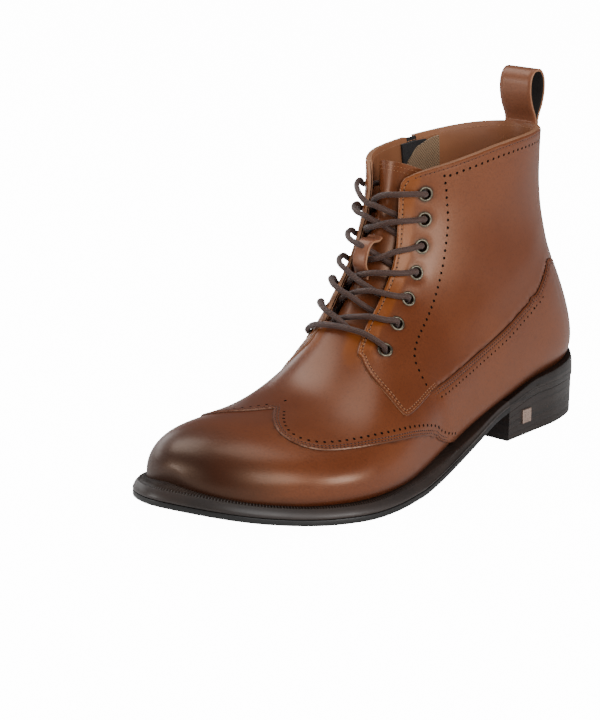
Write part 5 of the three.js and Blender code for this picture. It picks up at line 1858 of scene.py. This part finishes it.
def make_heel():
    """Stacked heel: lifts with fine grooves between them, and a flat front."""
    def top(along):
        return underside_z(along) - 0.05

    rings = []
    for k in range(LIFTS):
        low, high = k / LIFTS, (k + 1) / LIFTS
        groove = ((low, 0.16), (low + 0.02, 0.03), (low + 0.05, 0.0), (high - 0.05, 0.0), (high - 0.02, 0.03))
        for share, back in groove:
            rings.append((
                lambda a, s=share, b=back: np.full(len(a), HEEL_TAPER + (HEEL_EDGE - HEEL_TAPER) * s + b),
                lambda a, s=share: top(a) * s,
            ))
    rings.append((lambda a: np.full(len(a), HEEL_EDGE + 0.2), lambda a: top(a)))
    rings[0] = (lambda a: np.full(len(a), HEEL_TAPER + 0.7), lambda a: np.zeros(len(a)))
    edge, inward = sole_edge(OUTLINE_FINE)
    inner = edge[:, 0] < BREAST_ALONG
    order = np.argsort(np.where(edge[:, 1] >= 0, edge[:, 0], -edge[:, 0]))
    order = order[inner[order]]
    line, push = edge[order], inward[order]
    levels = []
    for inset, height in rings:
        at = line + push * inset(line[:, 0])[:, None]
        at[:, 0] = np.minimum(at[:, 0], BREAST_ALONG)
        ends = np.array([[BREAST_ALONG, at[0, 1]], [BREAST_ALONG, at[-1, 1]]])
        ring = np.concatenate([ends[:1], at, ends[1:]])
        levels.append(np.concatenate([ring, np.broadcast_to(height(ring[:, 0]), (len(ring),))[:, None]], 1))
    count = len(levels[0])
    faces = grid_faces(len(levels), count, closed_columns=True)
    points = np.concatenate(levels)
    last = (len(levels) - 1) * count
    for i in range(count // 2):
        other = count - 1 - i
        if other - i > 2:
            faces.append((i, other, other - 1, i + 1))
            faces.append((last + i, last + i + 1, last + other - 1, last + other))
        elif other - i == 2:
            faces.append((i, other, i + 1))
            faces.append((last + i, last + i + 1, last + other))
    return add_object("heel_stack_block", points, faces, [heel_edge], sharp=40)


# The plate's middle as the photo shows it
PLATE_ALONG = 65.5
PLATE_MIDDLE_Z = 10.6
PLATE_WIDTH = 7.4
PLATE_HEIGHT = 7.6
PLATE_THICKNESS = 0.8
PLATE_BEVEL = 0.3


def make_plate():
    """The bare plate on the lateral side of the heel, a little bevelled."""
    edge, inward = sole_edge(OUTLINE_FINE)
    near = np.argmin(np.abs(edge[:, 0] - PLATE_ALONG) + 1000 * (edge[:, 1] < 0))
    push = inward[near] / np.linalg.norm(inward[near])
    share = PLATE_MIDDLE_Z / float(underside_z(PLATE_ALONG))
    seat = edge[near] + push * (HEEL_TAPER + (HEEL_EDGE - HEEL_TAPER) * share)
    across = np.array([-push[1], push[0]])
    points, half = [], np.array([PLATE_WIDTH, PLATE_HEIGHT]) / 2
    for out, shrink in ((-0.3, 0.0), (PLATE_THICKNESS - PLATE_BEVEL, 0.0), (PLATE_THICKNESS, PLATE_BEVEL)):
        for u, v in ((-1, -1), (1, -1), (1, 1), (-1, 1)):
            at = seat - push * out + across * u * (half[0] - shrink)
            points.append((at[0], at[1], PLATE_MIDDLE_Z + v * (half[1] - shrink)))
    faces = [(3, 2, 1, 0), (8, 9, 10, 11)]
    for ring in (0, 4):
        faces += [(ring + i, ring + (i + 1) % 4, ring + 4 + (i + 1) % 4, ring + 4 + i) for i in range(4)]
    return add_object("heel_badge_plate", np.array(points), faces, [rose_plate], sharp=20)


def use_cad(name, material, smooth=False):
    """Keeps a CAD node as it is, in its finish."""
    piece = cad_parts[name]
    piece.data.materials.clear()
    piece.data.materials.append(material)
    if smooth:
        piece.data.polygons.foreach_set("use_smooth", np.ones(len(piece.data.polygons), bool))
        piece.data.set_sharp_from_angle(angle=math.radians(30))


def dressed(piece, slot, *nodes):
    """Hides the CAD nodes that a piece replaces and fixes the piece to the boot; the slot is not used."""
    if nodes:
        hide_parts(*nodes)
    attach(piece, "boot")


dressed(make_toe_cap(), "upper_leather", "upper")
dressed(make_vamp(), "upper_leather", "upper")
dressed(make_quarters(), "upper_leather", "upper")
dressed(make_lining(), "lining_leather", "upper")
dressed(make_tongue(), "tongue_leather", "tongue")
dressed(make_lace(), "lace_cord", "lace_bar", *[f"lace_crossing_{i}" for i in range(1, 7)])
dressed(make_zip_teeth(), "zip_metal", "zip_chain")
dressed(make_tape_top(), "zip_cloth")
dressed(make_keeper(), "upper_leather", "lace_keeper")
dressed(make_pull_loop(), "loop_leather", "pull_loop")
for ring in make_eyelets():
    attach(ring, "boot")
welt_piece, rand_piece = make_welt()
dressed(welt_piece, "welt_leather", "welt")
dressed(rand_piece, "heel_stack", "heel_rand")
dressed(make_outsole(), "outsole_rubber", "outsole")
dressed(make_heel(), "heel_stack", "heel_block")
dressed(make_plate(), "plate_metal", "heel_plate")
use_cad("insole", lining, smooth=True)
use_cad("zip_tape", tape, smooth=True)
use_cad("zip_slider", steel)
use_cad("zip_pull", steel, smooth=True)
use_cad("zip_guard", guard, smooth=True)


def row_at(line, height):
    """A stitch row with the leather's height along it."""
    return line, np.full(len(line), height)


def on_quarter(row):
    """A stitch row with the quarters' height along it."""
    base = last_point(row)
    return row, quarter_height(base) + facing_swell(base) - STITCH_SINK


def on_vamp(row):
    """A stitch row with the counter's height along it."""
    return row, vamp_height(last_point(row)) - STITCH_SINK


COLLAR_ROW = 1.7
LINING_ROW = 2.4
facing_rows = [
    on_quarter(beside(line, sign * FACING_ROWS[0]))
    for line, sign in ((facing_only, -1), (facing_only_inner, 1))
]
collar_rows = [on_quarter(beside(collar_edge, -COLLAR_ROW))]
tab_rows = [
    on_quarter(beside(line, sign * distance))
    for distance in TAB_ROWS for line, sign in ((tab_line, -1), (tab_line_inner, 1))
]
panel_rows = [
    row_at(beside_both(wing_outer_holes, wing_inner_holes, WING_MARGIN - distance), -STITCH_SINK)
    for distance in WING_ROWS
]
panel_rows += [
    on_vamp(beside(line, sign * distance))
    for distance in SEAM_ROWS for line, sign in ((seam_behind, -1), (seam_behind_inner, 1))
]
lining_rows = [row_at(beside(collar_edge, -LINING_ROW), -UPPER_WALL)]
# Two upright seams in the lining, either side of the pull loop
for angle in (-72, -108):
    top = float(np.interp(-angle, -collar_angles, collar_sections))
    lining_rows.append(row_at(line_on_last([(top - 3.4, angle), (top - 0.35, angle)]), -UPPER_WALL))
FINE_STITCH = {"length": 1.9, "radius": 0.22, "pitch": 2.4}
lining_stitches = stitches("lining_stitches", lining_rows, thread_tan, outward=-1, **FINE_STITCH)
dressed(lining_stitches, "lining_leather")
tongue_rows = []
for inset in TONGUE_ROWS:
    turns = range(-TONGUE_ROW_TURN, TONGUE_ROW_TURN + 1, 4)
    row = line_on_last([
        (TONGUE_TOP - inset - 0.2 * (turn / TONGUE_ROW_TURN) ** 2, 90 + turn) for turn in turns
    ])
    pad = 0.33 * np.cos((row[:, 1] - 90) / TONGUE_TURN * TONGUE_CROWN)
    tongue_rows.append((row, float(tongue_offset(TONGUE_TOP - inset)) + pad - STITCH_SINK))
dressed(stitches("tongue_stitches", tongue_rows, thread_tan, **FINE_STITCH), "tongue_leather")
for name, rows, thread, pitch in (
    ("facing_stitches", facing_rows, thread_tan, 2.4),
    ("collar_stitches", collar_rows, thread_brown, 2.4),
    ("tab_stitches", tab_rows, thread_tan, 2.0),
    ("panel_stitches", panel_rows, thread_brown, 1.95),
):
    dressed(stitches(name, rows, thread, length=pitch * 0.8, radius=0.24, pitch=pitch), "upper_leather")
    dressed(needle_holes(name + "_holes", rows, pitch), "upper_leather")

# Camera, lights and floor
CAMERA_PLACE = (-0.9523, -0.78625, 0.4075)
CAMERA_HEADING = 41.385
CAMERA_PITCH = 16.008
CAMERA_ROLL = 0.141
FOCAL_PIXELS = 2572.2
PICTURE_HEIGHT = 720
SENSOR = 36.0

LIGHT_TARGET = (0.0, 0.0, 0.08)
LIGHTS = [
    # name, place, width, height, watts
    ("left_box", (-0.2, 1.0, 1.25), 0.9, 0.8, 8.5),
    ("low_left_box", (0.2, 1.7, 0.35), 1.4, 0.4, 4),
    ("toe_box", (-1.3, 0.75, 0.35), 0.5, 0.4, 5),
    ("front_box", (-0.75, -1.6, 1.0), 1.1, 1.0, 20),
    ("side_box", (0.4, -1.75, 0.4), 0.45, 0.6, 10),
    ("top_box", (0.2, 0.0, 1.9), 1.0, 1.0, 8),
]
WORLD_LIGHT = 0.14
FLOOR_REACH = 6.0
FLOOR_GLOW = 14.0


def set_camera():
    """Camera at the photo's place, aim and focal length."""
    heading, pitch = math.radians(CAMERA_HEADING), math.radians(CAMERA_PITCH)
    level = math.cos(pitch)
    forward = Vector((math.cos(heading) * level, math.sin(heading) * level, -math.sin(pitch)))
    camera = bpy.data.cameras.new("camera")
    camera.sensor_width = SENSOR
    camera.lens = FOCAL_PIXELS / PICTURE_HEIGHT * SENSOR
    camera.clip_end = 20
    piece = bpy.data.objects.new("camera", camera)
    bpy.context.scene.collection.objects.link(piece)
    aim = forward.to_track_quat("-Z", "Y").to_matrix().to_4x4()
    roll = Matrix.Rotation(math.radians(-CAMERA_ROLL), 4, "Z")
    piece.matrix_world = Matrix.Translation(CAMERA_PLACE) @ aim @ roll
    bpy.context.scene.camera = piece


def soft_light(name, place, width, height, power):
    """Soft box that faces the boot."""
    light = bpy.data.lights.new(name, "AREA")
    light.shape = "RECTANGLE"
    light.size = width
    light.size_y = height
    light.energy = power
    piece = bpy.data.objects.new(name, light)
    bpy.context.scene.collection.objects.link(piece)
    piece.location = place
    piece.rotation_euler = (Vector(LIGHT_TARGET) - Vector(place)).to_track_quat("-Z", "Y").to_euler()


def set_stage():
    """White floor that glows for the camera only, a dim white world and the soft lights."""
    floor_mesh = bpy.data.meshes.new("floor")
    corners = [(x * FLOOR_REACH, y * FLOOR_REACH, 0) for x, y in ((-1, -1), (1, -1), (1, 1), (-1, 1))]
    floor_mesh.from_pydata(corners, [], [(0, 1, 2, 3)])
    floor = bpy.data.objects.new("floor", floor_mesh)
    bpy.context.scene.collection.objects.link(floor)
    material, tree, shader = new_nodes("floor_white")
    shader.inputs["Base Color"].default_value = (0.9, 0.9, 0.9, 1)
    shader.inputs["Roughness"].default_value = 0.7
    shader.inputs["Emission Color"].default_value = (1, 1, 1, 1)
    seen = node(tree, "ShaderNodeLightPath").outputs["Is Camera Ray"]
    tree.links.new(calculate(tree, "MULTIPLY", seen, FLOOR_GLOW), shader.inputs["Emission Strength"])
    floor_mesh.materials.append(material)
    world = bpy.data.worlds.new("studio")
    world.use_nodes = True
    background = world.node_tree.nodes["Background"]
    background.inputs["Color"].default_value = (1, 1, 1, 1)
    background.inputs["Strength"].default_value = WORLD_LIGHT
    bpy.context.scene.world = world
    for light in LIGHTS:
        soft_light(*light)


set_camera()
set_stage()
